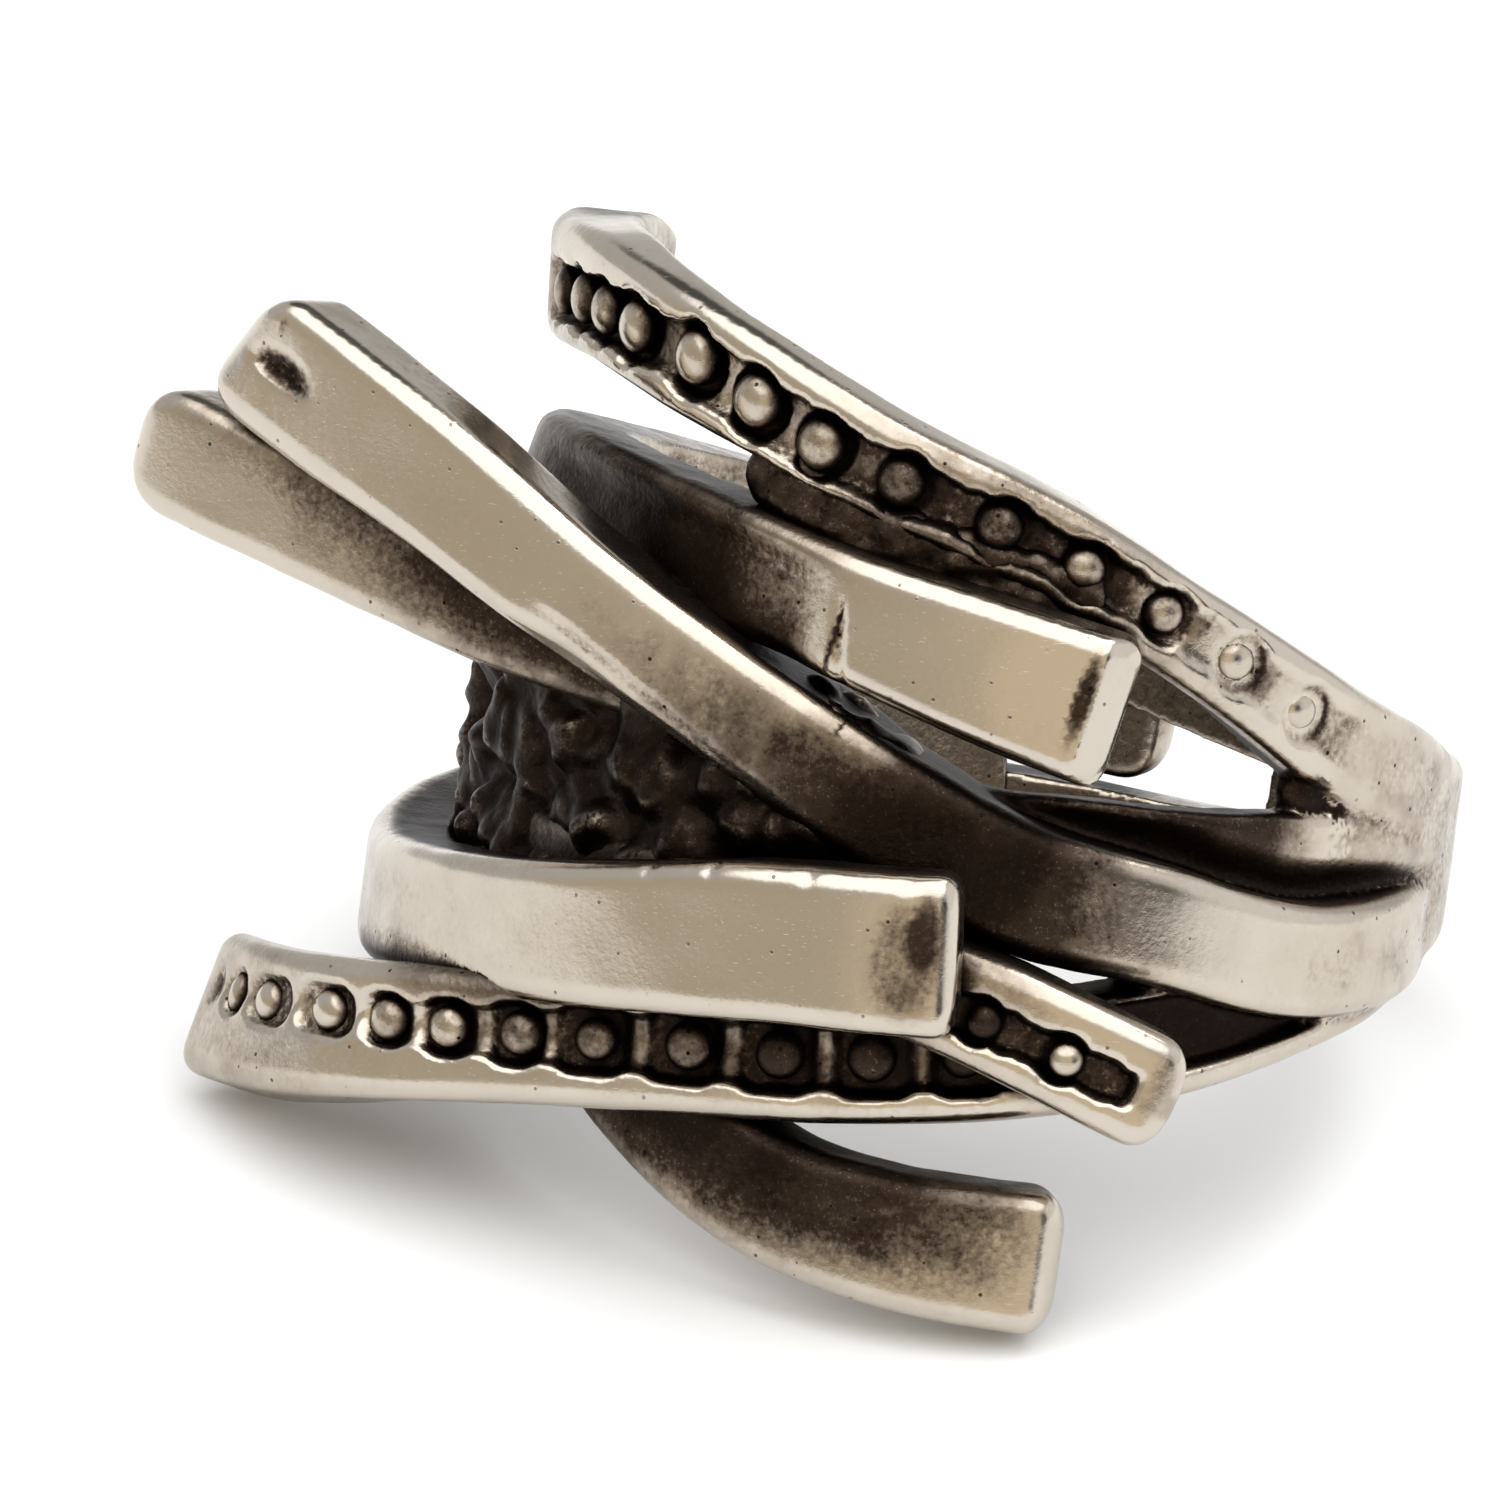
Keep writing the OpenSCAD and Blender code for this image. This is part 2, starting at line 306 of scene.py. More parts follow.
# %% The channels' tables
# The trench's columns: around, middle across, half its width, depth, share of black on its floor
TRENCH = {
    "upper_beaded_bar": [
        [44, 0.0, 0.7, 0.0, 0.0],
        [49, 0.0, 0.76, 0.09, 0.8],
        [58, 0.0, 0.7, 0.12, 0.75],
        [66, 0.1, 0.7, 0.15, 0.85],
        [76, 0.12, 0.7, 0.34, 0.85],
        [83, 0.06, 0.7, 0.52, 0.95],
        [90, 0.0, 0.7, 0.6, 1.0],
        [109, -0.08, 0.74, 0.62, 1.0],
        [119, -0.2, 0.86, 0.62, 0.95],
        [128, -0.1, 0.9, 0.62, 0.95],
        [138, 0.05, 0.84, 0.62, 1.0],
        [148, -0.12, 0.84, 0.6, 0.95],
        [156, -0.18, 0.84, 0.6, 0.95],
        [174, -0.2, 0.82, 0.5, 0.9],
        [177, -0.2, 0.82, 0.0, 0.3],
    ],
    "lower_beaded_bar": [
        [20, 0.1, 0.3, 0.0, 0.0],
        [34, 0.15, 0.7, 0.3, 0.6],
        # From 50 to 138 the lower beaded bar's floor black is partly painted shadow under the wide bar
        [50, 0.2, 0.8, 0.5, 0.9],
        [80, 0.2, 0.88, 0.6, 1.0],
        [123, 0.2, 0.82, 0.6, 1.0],
        [138, 0.16, 0.74, 0.54, 0.95],
        [145, 0.18, 0.66, 0.46, 0.9],
        [151, 0.28, 0.6, 0.36, 0.8],
        [157, 0.35, 0.58, 0.28, 0.6],
        [171, 0.38, 0.56, 0.23, 0.55],
        [174, 0.38, 0.5, 0.0, 0.4],
    ],
    "short_beaded_bar": [
        [76.2, -0.12, 0.52, 0.0, 0.9],
        [77.2, -0.12, 0.58, 0.55, 0.95],
        [125, -0.15, 0.65, 0.6, 1.0],
        [130, -0.15, 0.65, 0.0, 1.0],
    ],
}
# The beads' columns: around, radius across, radius along, share of black
BEADS = {
    "upper_beaded_bar": [
        [171, 0.56, 0.46, 0.35],
        [162, 0.58, 0.5, 0.35],
        [155.3, 0.58, 0.52, 0.3],
        [148.3, 0.62, 0.56, 0.1],
        [137.5, 0.66, 0.62, 0.15],
        [128, 0.64, 0.62, 0.2],
        [119, 0.6, 0.58, 0.4],
        [109, 0.56, 0.56, 0.65],
        [97, 0.54, 0.54, 0.6],
        [86.6, 0.5, 0.5, 0.3],
        [76.3, 0.48, 0.48, 0.35],
        [66, 0.52, 0.55, 0.15],
        [55.3, 0.52, 0.55, 0.15],
    ],
    "lower_beaded_bar": [
        [173.4, 0.44, 0.3, 0.4],
        [169.7, 0.46, 0.34, 0.1],
        [164.7, 0.5, 0.52, 0.0],
        [156.7, 0.5, 0.56, 0.0],
        [150.3, 0.5, 0.52, 0.3],
        [144.7, 0.5, 0.5, 0.3],
        # From 138 round onward these beads' black is partly painted shadow under the wide bar
        [138.2, 0.52, 0.52, 0.55],
        [131.5, 0.5, 0.5, 0.6],
        [122.7, 0.56, 0.56, 0.65],
        [113.1, 0.56, 0.56, 0.85],
        [103.2, 0.56, 0.56, 0.8],
        [93, 0.5, 0.5, 0.9],
        [82, 0.5, 0.5, 0.9],
    ],
    "short_beaded_bar": [
        [83.3, 0.42, 0.42, 0.15],
        [91.8, 0.42, 0.42, 0.85],
        [100.5, 0.42, 0.42, 0.95],
        [109, 0.42, 0.42, 0.95],
    ],
}
# The columns: around, how much of the trench's depth is left between two pockets
RUN = {
    "upper_beaded_bar": [[70, 0.5], [85, 0.9], [110, 0.85], [126, 0.6], [138, 0.6], [150, 1.0]],
    "short_beaded_bar": [[90, 0.9]],
}
DIVIDERS = {
    "lower_beaded_bar": [171.5, 167.2, 160.4, 153, 147.5, 141.7, 135.7, 127.7, 118.5, 108.3, 97.6, 87.5],
}
# A pocket's radius over its bead's, and how far its middle lies from the bead's, in mm
POCKET_ROOM = 1.32
POCKET_SHIFT = 0.1
# Half a divider's width in mm, at its foot and at its top
DIVIDER_FOOT = 0.38
DIVIDER_TOP = 0.08


def column(table, around, index):
    """One column of a short table at this many degrees round."""
    rows = sorted(table)
    return np.interp(around, [r[0] for r in rows], [r[index] for r in rows])


print("beads:", {name: len(rows) for name, rows in BEADS.items()})

# %% [markdown]
# ## Carving the faces
#
# Each face is carved as a height field: a function gives the depth at a place mm along the path and x
# across it, with the table's row there. Every carving takes these three, whether it needs them or not.
# Hollows, folds and filed bevels are smooth steps of a few tenths of a mm.

# %% Channel depth
def nearest(spots, mm):
    """The spot of the list that lies nearest to this place."""
    return spots[np.argmin(np.abs(spots - mm))]


def channel(name, mm, x, row):
    """A channel at a place: its depth, how much of its floor shows, and the way from the nearest bead."""
    path = paths[name]
    middle, half, deep, black = (column(TRENCH[name], row[AROUND], k) for k in (1, 2, 3, 4))
    off = x - middle
    bead = nearest(path.mm([r[0] for r in BEADS[name]]), mm)
    if name in DIVIDERS:
        from_divider = abs(mm - nearest(path.mm(DIVIDERS[name]), mm))
        divider = smooth(from_divider, DIVIDER_FOOT, DIVIDER_TOP)
        # The channel is narrower at a divider, which is a saddle, and lower where the channel is blacker
        half = half - 0.16 * smooth(from_divider, 0.6, 0.15)
        floor = smooth(np.abs(off), half + 0.06, half - 0.12)
        high = 0.65 + 0.3 * smooth(np.abs(off), 0.1, 0.6 * half)
        saddle = divider * high * (1 - 0.6 * smooth(black, 0.6, 1))
        # Its top is rubbed clean where the channel was polished
        worn = divider * (1.5 - 1.15 * black)
        return deep * floor * (1 - saddle), floor * (1 - np.clip(worn, 0, 1)), off, mm - bead
    radius = POCKET_ROOM * column(BEADS[name], row[AROUND], 1)
    run = column(RUN[name], row[AROUND], 1)
    # Between two pockets the wall is cut by hand, so it wavers
    ragged = 0.04 * math.sin(5.3 * mm) + 0.02 * math.sin(12.7 * mm + 1)
    straight = smooth(np.abs(off), half - 0.08 + ragged, half - 0.3 + ragged)
    pocket = smooth(np.hypot(off, mm - bead + POCKET_SHIFT), radius + 0.1, radius - 0.1)
    floor = np.maximum(run * straight, pocket)
    return deep * floor, floor, off, mm - bead


def channel_carve(name):
    """The carving of this bar's channel."""
    return lambda mm, x, row: channel(name, mm, x, row)[0]


print("channels are cut into:", list(TRENCH))

# %% [markdown]
# ## Bevels, dents and the groove
#
# The plain bars were filed too. Flats lead to their free ends, the main bar has a dent from a knock and a
# fold that narrows it, the plate has a crease where its hollow ends, and a groove runs along the shank above
# the main bar. Each is a short formula, because each occurs once.

# %% Other carving
# Places are in degrees round, depths in mm, and a facet or a slant in mm for each mm across
NICK_DEEP = 0.09
DENT_AT = 163.2
DENT_DEEP = 0.24
FOLD_DEEP = 0.12
FACET = 0.6
BEND_DEEP = 0.14
CREASE_AT = -247.6
CREASE_SLANT = 0.24
CREASE_DEEP = 0.12
HOLLOW_DEEP = 0.34
SHANK_SUNK = 0.15
GROOVE_DEEP = 0.5


def end_bevel(name, long, deep):
    """A flat filed toward the free end, this long and this deep at the very end."""
    length = paths[name].length

    def carve(mm, x, row):
        return deep * np.clip((long - (length - mm)) / long, 0, 1)

    return carve


def wide_bar_carve(mm, x, row):
    """The flat filed toward the end, and small nicks in the upper edge."""
    nicks = NICK_DEEP * smooth(math.sin(3.1 * mm) + math.sin(8.3 * mm + 2), 1.0, 1.7)
    edge = row[WIDE] / 2
    nicks = nicks * smooth(x, edge - 0.45, edge - 0.15) * smooth(row[AROUND], -226, -234)
    return end_bevel("wide_bar", long=1.0, deep=0.22)(mm, x, row) + nicks


def main_bar_carve(mm, x, row):
    """The dent near the free end, and the narrow facet under the fold line further down."""
    along = mm - paths["main_bar"].mm(DENT_AT)
    side = np.where(x < 0.0, x / 0.22, x / 0.65)
    dent = DENT_DEEP * smooth(np.hypot(along / 1.25, side), 1, 0.15)
    fold = np.interp(row[AROUND], [119, 138], [-1.0, -0.62])
    window = smooth(row[AROUND], 142, 136) * smooth(row[AROUND], 112, 120)
    crease = FOLD_DEEP * smooth(np.abs(x - fold), 0.16, 0.02)
    facet = FACET * np.clip(fold - x, 0, 1)
    lower_bend = BEND_DEEP * smooth(x, -1.0, -1.55)
    return dent + window * (crease + facet) + (1 - window) * lower_bend


def plate_carve(mm, x, row):
    """The bevel at the plate's end, the crease where its polished part starts and the hollow before that."""
    bevel = end_bevel("plate_bar", long=0.8, deep=0.62)(mm, x, row)
    place_in = mm - paths["plate_bar"].mm(CREASE_AT) + CREASE_SLANT * x
    crease = CREASE_DEEP * smooth(np.abs(place_in), 0.22, 0) * smooth(x, 0.7, -0.2)
    hollow = HOLLOW_DEEP * smooth(place_in, 0.1, -1.8) * smooth(row[AROUND], -190, -205)
    hollow = hollow * smooth(x, 1.2, 0.4)
    return bevel + crease + hollow


def groove_above(around, up):
    """The share of the groove in the shank and the finger wall, above the main bar's upper edge."""
    main = paths["main_bar"]
    row = row_at(main.rows, main.s(main.mm(around)))[0]
    edge = row[UP] + row[WIDE] / 2
    window = smooth(around, 14, 34) * smooth(around, 110, 90)
    wide = 0.45 + 0.75 * smooth(around, 14, 42)
    return window * smooth((up - edge) / wide, 1, 0.15)


def shank_carve(mm, x, row):
    """The shank sinks a little where the bars grow out of it, and it has the groove."""
    sunk = SHANK_SUNK * smooth(row[AROUND], 38, 46)
    return sunk + GROOVE_DEEP * groove_above(row[AROUND], row[UP] + x)


print("the groove takes", GROOVE_DEEP, "mm off the shank at its deepest")

# %% [markdown]
# ## Where the black finish was left, and where shade is painted
#
# Polishing missed some faces, or the finish stained them again. The same tables also hold painted shade:
# darker tone where bars overhang or lie between others, tone that dims bright reflections, and a few
# patches that are painted dark reflections. A short table for a bar says how much black it keeps on the side
# above, the outer face and the side below, by how far round. Patches are single spots. The rest comes from
# how deep a spot lies, which is worked out further on.

# %% The tables of stains and painted shade
# The columns: around, side above, upper edge, middle, lower edge, side below
STAINS_AND_SHADE = {
    # The shank's even tone is a light haze and mostly painted shade that dims its reflection of the bright
    # paper; the bars' roots next to it share it
    "shank": [[-44, 0.3, 0.3, 0.3, 0.3, 0.3], [46, 0.26, 0.26, 0.3, 0.3, 0.3]],
    "upper_beaded_bar": [
        [30, 0.26, 0.26, 0.26, 0.26, 0.5],
        [46, 0.18, 0.18, 0.18, 0.18, 0.9],
        [52, 0.0, 0.0, 0.0, 0.0, 0.95],
        [58, 0.0, 0.0, 0.0, 0.1, 0.95],
        [70, 0.0, 0.0, 0.2, 0.3, 0.95],
        [84, 0.0, 0.25, 0.4, 0.6, 0.95],
        [95, 0.0, 0.5, 0.6, 0.85, 0.95],
        [110, 0.0, 0.35, 0.5, 0.75, 0.95],
        [120, 0.0, 0.1, 0.2, 0.35, 0.9],
        [128, 0.0, 0.0, 0.0, 0.05, 0.6],
        [150, 0.0, 0.0, 0.0, 0.3, 0.35],
        # From 164 round to the free end the black is painted shade that dims the knob's bright reflection
        [164, 0.2, 0.15, 0.2, 0.35, 0.4],
        [180, 0.6, 0.5, 0.4, 0.4, 0.4],
        [190, 0.75, 0.7, 0.5, 0.5, 0.5],
    ],
    "main_bar": [
        [12, 0.26, 0.26, 0.26, 0.26, 0.26],
        [46, 0.26, 0.2, 0.2, 0.2, 0.2],
        [60, 0.3, 0.05, 0.05, 0.05, 0.2],
        [70, 0.6, 0.1, 0.1, 0.25, 0.4],
        # From 77 to 118 round the black is partly painted shade, between the ends of the plate bar and the
        # wide bar
        [77, 0.8, 0.3, 0.35, 0.5, 0.7],
        [84, 0.95, 0.7, 0.75, 0.8, 0.9],
        [90, 0.95, 0.9, 0.95, 0.95, 0.95],
        [104, 0.95, 0.9, 0.95, 0.95, 0.95],
        [110, 0.9, 0.4, 0.85, 0.85, 0.9],
        [118, 0.8, 0.1, 0.72, 0.6, 0.85],
        [126, 0.6, 0.0, 0.55, 0.35, 0.7],
        [133, 0.4, 0.0, 0.32, 0.15, 0.5],
        [140, 0.25, 0.0, 0.08, 0.05, 0.3],
        [168, 0.2, 0.0, 0.0, 0.0, 0.0],
    ],
    "side_bar": [
        # The black on the upper edge and sides is partly painted shade, darker toward the main bar beside it
        [118, 0.9, 0.95, 0.85, 0.7, 0.8],
        [146, 0.9, 0.95, 0.9, 0.5, 0.6],
        [156, 0.8, 0.95, 0.72, 0.2, 0.3],
        [163, 0.6, 0.9, 0.4, 0.0, 0.1],
        [170, 0.4, 0.5, 0.05, 0.0, 0.0],
        [177, 0.3, 0.1, 0.0, 0.0, 0.0],
    ],
    "plate_bar": [
        [-278, 0.3, 0.0, 0.0, 0.0, 0.3],
        [-262, 0.5, 0.0, 0.0, 0.1, 0.5],
        [-250, 0.7, 0.1, 0.0, 0.1, 0.7],
        # From -245 to -170 the black is partly painted shade in the plate's hollow
        [-245, 0.8, 0.3, 0.15, 0.25, 0.8],
        [-241, 0.9, 0.35, 0.5, 0.85, 0.95],
        [-235, 0.9, 0.35, 0.65, 0.95, 0.95],
        [-230, 0.9, 0.7, 0.95, 0.95, 0.95],
        [-215, 0.9, 0.7, 0.95, 0.95, 0.95],
        [-200, 0.8, 0.7, 0.85, 0.9, 0.9],
        [-170, 0.7, 0.55, 0.7, 0.8, 0.8],
        [-120, 0.3, 0.2, 0.3, 0.3, 0.4],
        [-36, 0.2, 0.1, 0.1, 0.1, 0.2],
    ],
    "wide_bar": [
        [-265, 0.6, 0.0, 0.0, 0.0, 0.1],
        [-245, 0.9, 0.0, 0.0, 0.0, 0.1],
        [-228, 0.95, 0.05, 0.04, 0.05, 0.1],
        # From -214 to -165 the face's even tone is painted shade that dims its reflection of the bright
        # paper
        [-214, 0.95, 0.12, 0.12, 0.12, 0.2],
        [-195, 0.95, 0.18, 0.18, 0.18, 0.25],
        [-165, 0.9, 0.2, 0.2, 0.3, 0.4],
        [-120, 0.5, 0.2, 0.2, 0.2, 0.4],
        [-36, 0.2, 0.1, 0.1, 0.1, 0.2],
    ],
    "lower_beaded_bar": [
        [20, 0.26, 0.26, 0.26, 0.26, 0.26],
        [46, 0.45, 0.4, 0.25, 0.15, 0.15],
        # From 60 to 148 the black on the upper side and edge is partly painted shadow under the wide bar
        [60, 0.7, 0.6, 0.3, 0.0, 0.0],
        [100, 0.85, 0.8, 0.4, 0.05, 0.0],
        [140, 0.85, 0.75, 0.3, 0.0, 0.0],
        [148, 0.6, 0.5, 0.0, 0.0, 0.0],
        # From 153 round to the end the even tone is painted shade that dims its reflection of the bright
        # paper
        [153, 0.1, 0.1, 0.1, 0.15, 0.15],
        [164, 0.25, 0.25, 0.25, 0.3, 0.3],
    ],
    "short_beaded_bar": [
        [72, 0.0, 0.0, 0.0, 0.0, 0.0],
        [80, 0.3, 0.05, 0.1, 0.05, 0.0],
        [88, 0.5, 0.2, 0.3, 0.15, 0.1],
        [100, 0.7, 0.5, 0.6, 0.3, 0.2],
        [120, 0.8, 0.7, 0.7, 0.6, 0.5],
    ],
    "lower_bar": [
        [80, 0.6, 0.05, 0.0, 0.0, 0.0],
        [86, 0.7, 0.4, 0.35, 0.0, 0.0],
        [94, 0.85, 0.8, 0.65, 0.0, 0.0],
        # From 104 round to the root the black is partly painted shadow under the lower beaded bar
        [104, 0.9, 0.85, 0.75, 0.0, 0.1],
        [118, 0.95, 0.95, 0.85, 0.2, 0.3],
        [130, 0.95, 0.95, 0.95, 0.5, 0.5],
        [165, 0.9, 0.9, 0.9, 0.7, 0.7],
    ],
    "far_bar": [[-150, 0.3, 0.3, 0.3, 0.3, 0.3], [-65, 0.15, 0.15, 0.15, 0.15, 0.15]],
    "flank": [[84, 0.8, 0.75, 0.85, 0.8, 0.9], [130, 0.8, 0.7, 0.8, 0.8, 0.9]],
    "crown_core": [
        [100, 0.4, 0.4, 0.4, 0.4, 0.4],
        [116, 0.95, 0.95, 0.95, 0.95, 0.95],
        [184, 0.95, 0.95, 0.95, 0.95, 0.95],
        [205, 0.5, 0.5, 0.5, 0.5, 0.5],
    ],
}
# A patch's columns: around, across, half its length, half its width, share of black
PATCHES = {
    "shank": [[46, 1.5, 0.5, 0.55, 0.9]],
    "upper_beaded_bar": [[48, -1.25, 0.55, 0.3, 0.9]],
    "main_bar": [
        [162.9, 0.15, 1.0, 0.42, 0.75],
        [113.2, 1.35, 0.07, 0.5, 0.9],
        [164.6, 1.1, 0.12, 0.1, 0.6],
    ],
    # The wide bar's two patches at its end are partly stain and partly a painted dark reflection
    "wide_bar": [[-260.6, -0.1, 0.9, 1.5, 0.5], [-262, 0.4, 0.5, 1.1, 0.8]],
    # The first plate patch is a painted dark reflection along the end, the second marks the crease
    "plate_bar": [[-273.6, 0.2, 0.26, 1.2, 0.75], [-247.4, -0.5, 0.12, 0.95, 0.9]],
    # This patch is painted shade at the short beaded bar's end
    "short_beaded_bar": [[74.6, 0.2, 0.4, 0.9, 0.3]],
}
print("stained bars:", len(STAINS_AND_SHADE))

# %% [markdown]
# ## The stain and painted shade at one point
#
# The table's columns are blended into each other: over the outer face from edge to edge, and from its rim
# down the sides. A channel's floor is blackest round its beads, a patch is an oval of its own, and the
# finger's side keeps an even haze, because it was never on the wheel.

# %% A point's stain and painted shade
INNER_BLACK = 0.36
GROOVE_BLACK = 0.95


def stain(name, mm, q, row):
    """The share of black at points of a section: x across, and inward from the outer face."""
    x, inward = q[:, 0], -q[:, 1]
    half = row[WIDE] / 2
    on_face = smooth(inward, 0.9, 0.45)
    above, upper, middle, lower, below = (column(STAINS_AND_SHADE[name], row[AROUND], k) for k in range(1, 6))
    black = np.interp(x, [-half, 0, half], [lower, middle, upper])
    black += (np.where(x > 0, above, below) - black) * smooth(inward, 0.25, 0.8)
    if name != "crown_core":
        black += (INNER_BLACK - black) * smooth(inward, row[THICK] - 0.3, row[THICK] - 0.05)
    if name in TRENCH:
        deep, floor, off, from_bead = channel(name, mm, x, row)
        dark = column(TRENCH[name], row[AROUND], 4)
        # A deep floor stays black. A shallow one is clean at the bead, and darker beside it to the shank
        shallow = np.maximum(smooth(deep, 0.4, 0.2), 0.3)
        round_bead = smooth(np.hypot(off, from_bead), 0.4, 0.68)
        toward_shank = 0.35 + 0.65 * smooth(off - from_bead, -0.3, 0.5)
        kept = 1 - shallow * (1 - round_bead * toward_shank)
        black = np.maximum(black, dark * floor * kept * on_face)
    for at, across, long, wide, share in PATCHES.get(name, []):
        off = np.hypot((mm - paths[name].mm(at)) / long, (x - across) / wide)
        black = np.maximum(black, share * smooth(off, 1.25, 0.45) * on_face)
    if name == "shank":
        black = np.maximum(black, GROOVE_BLACK * groove_above(row[AROUND], row[UP] + x))
    return black


print("the finger's side keeps", INNER_BLACK, "of full black")

# %% [markdown]
# ## A bar's section
#
# The bars were built of square wax wire, so a section is a rectangle with rounded corners. The outer face
# gets many points, because channels, pockets and dents are pressed into it.

# %% Section
OUTER_EDGE = 0.48
INNER_EDGE = 0.3
CORNER_POINTS = 6


def arc(cx, cy, r, start):
    """A quarter circle, clockwise from the start angle in degrees."""
    turn = np.radians(start) - np.linspace(0, math.pi / 2, CORNER_POINTS)
    return np.stack([cx + r * np.cos(turn), cy + r * np.sin(turn)], 1)


def outline(wide, thick, outer, inner, across=60, side=9):
    """The section from its outer face round to the inner one, as points across and inward."""
    w = wide / 2
    under_count = across // 3
    top = np.stack([np.linspace(outer - w, w - outer, across), np.zeros(across)], 1)
    right = np.stack([np.full(side, w), np.linspace(-outer, inner - thick, side + 2)[1:-1]], 1)
    inner_x = np.linspace(w - inner, inner - w, under_count + 2)[1:-1]
    under = np.stack([inner_x, np.full(under_count, -thick)], 1)
    left = np.stack([np.full(side, -w), np.linspace(inner - thick, -outer, side + 2)[1:-1]], 1)
    return np.concatenate([
        top,
        arc(w - outer, -outer, outer, 90)[1:],
        right,
        arc(w - inner, inner - thick, inner, 0),
        under,
        arc(inner - w, inner - thick, inner, -90),
        left,
        arc(outer - w, -outer, outer, 180)[:-1],
    ])


print("edges are rounded by", OUTER_EDGE, "mm outside and", INNER_EDGE, "mm inside")

# %% [markdown]
# ## Free ends
#
# A free end draws in as a quarter circle, with one radius seen on the face and another over the thickness,
# as a filed end does, and it may be cut at a slant. Sections stand closer together where it turns over.

# %% Free ends
STEP = 0.1
TIP_SECTIONS = 12
SLANT_REACH = 3.0
# A free end's columns: corner radius on the face, radius over the thickness, slant in mm for each mm across
ENDS = {
    "upper_beaded_bar": [0.9, 0.9, 0.0],
    "main_bar": [1.4, 1.1, -0.33],
    "side_bar": [1.6, 1.0, 0.0],
    "plate_bar": [0.55, 0.35, 0.0],
    "wide_bar": [0.5, 0.45, 0.0],
    "lower_beaded_bar": [0.8, 0.7, 0.0],
    "short_beaded_bar": [0.9, 0.7, 0.0],
    "lower_bar": [0.85, 0.8, 0.0],
    "far_bar": [1.05, 0.6, 0.0],
    "flank": [0.6, 0.5, 0.0],
    "crown_core": [1.2, 1.2, 0.0],
}
# The shank has no free end, so its radii only have to be more than 0
NO_END = [0.5, 0.5, 0.0]


def draw_in(from_tip, r):
    """How far an edge draws in at each distance from the tip, for a quarter circle."""
    t = np.clip(1 - from_tip / r, 0, 1)
    return r * (1 - np.sqrt(1 - t**2))


def stations(length, free_start, free_end, r):
    """Distances along a bar in even steps, and closer ones where a free end turns over."""
    tip = r * (1 - np.cos(np.linspace(0, math.pi / 2, TIP_SECTIONS)))
    mm = np.linspace(0, length, int(length / STEP) + 1)
    if free_start:
        mm = np.concatenate([tip, mm[mm > r]])
    if free_end:
        mm = np.concatenate([mm[mm < length - r], length - tip[::-1]])
    return mm


print("free ends are shaped for:", list(ENDS))

# %% [markdown]
# ## Sweeping a bar
#
# A bar could be a curve with a bevel, but its section changes on the way and its face is carved, so each
# section is worked out by itself: carved, made smaller where the end draws in, and set across the path. What
# would stand in the finger's room is pushed out to just clear of the finger wall's inner face. The lumpy
# core stays further out, so that its lumps don't show on the inside.

# %% Sweep
BAR_CLEAR = 0.15
CORE_CLEAR = 0.7


def tube_faces(count, sides, closed=False):
    """Quads between count rings of this many sides. A closed tube meets itself, another is capped."""
    total = count * sides
    quads = []
    for k in range(count if closed else count - 1):
        a = k * sides + np.arange(sides)
        b = k * sides + (np.arange(sides) + 1) % sides
        quads.append(np.stack([a, b, b + sides, a + sides], 1) % total)
    faces = np.concatenate(quads).tolist()
    if not closed:
        faces.append(list(range(sides))[::-1])
        faces.append(list(range(total - sides, total)))
    return faces


def sweep(name, free_start=False, free_end=True, carve=None, clear=BAR_CLEAR):
    """A closed mesh of the bar, in the ring's directions: its points, faces and each point's stain and
    painted shade.
    """
    path = paths[name]
    corner, turn_over, slant = ENDS.get(name, NO_END)
    mm = stations(path.length, free_start, free_end, max(corner, turn_over))
    s = path.s(mm)
    rows = row_at(path.rows, s)
    across, outward, along = directions(path.rows, s)
    middle = place(rows)
    from_tip = np.full(len(mm), np.inf)
    if free_start:
        from_tip = np.minimum(from_tip, mm)
    if free_end:
        from_tip = np.minimum(from_tip, path.length - mm)
    narrow = draw_in(from_tip, corner)
    thin = draw_in(from_tip, turn_over)
    cut = slant * smooth(mm, path.length - SLANT_REACH, path.length)
    rings = []
    stains_and_shade = []
    for k in range(len(mm)):
        wide = rows[k, WIDE] - 2 * narrow[k]
        thick = rows[k, THICK] - 2 * thin[k]
        least = min(wide, thick)
        q = outline(wide, thick, min(OUTER_EDGE, least / 2.1), min(INNER_EDGE, least / 2.2))
        stains_and_shade.append(stain(name, mm[k], q, rows[k]))
        if carve is not None:
            face = smooth(q[:, 1], -1.2 * OUTER_EDGE, -0.3 * OUTER_EDGE)
            q[:, 1] -= carve(mm[k], q[:, 0], rows[k]) * face
        q[:, 1] -= thin[k]
        shift = q[:, :1] * cut[k]
        rings.append(middle[k] + q[:, :1] * across[k] + q[:, 1:] * outward[k] + shift * along[k])
    points = np.concatenate(rings)
    out = np.linalg.norm(points[:, :2], axis=1)
    points[:, :2] *= (np.maximum(out, BORE_R + clear) / out)[:, None]
    return points, tube_faces(len(rings), len(rings[0])), np.concatenate(stains_and_shade)


print("sections stand", STEP, "mm apart")

# %% [markdown]
# ## The finger wall and the web
#
# The wall that touches the finger is a lathe that closes on itself, and it stands lower at the notch on the
# back. The web is a small lump of metal where two bars part, a ball with three radii.

# %% Finger wall and web
# The wall's lower and upper edge up the finger, and its thickness, in mm
WALL_LOW = -2.2
WALL_HIGH = 1.2
WALL_THICK = 1.2
# The notch's middle and half its width in degrees, and its depth in mm
NOTCH_AT = -65
NOTCH_HALF = 21.5
NOTCH_DEEP = 2.8
# Shares of black on the wall's outer side, where bars hide it, and on the web
HIDDEN_BLACK = 0.85
WEB_BLACK = 0.9


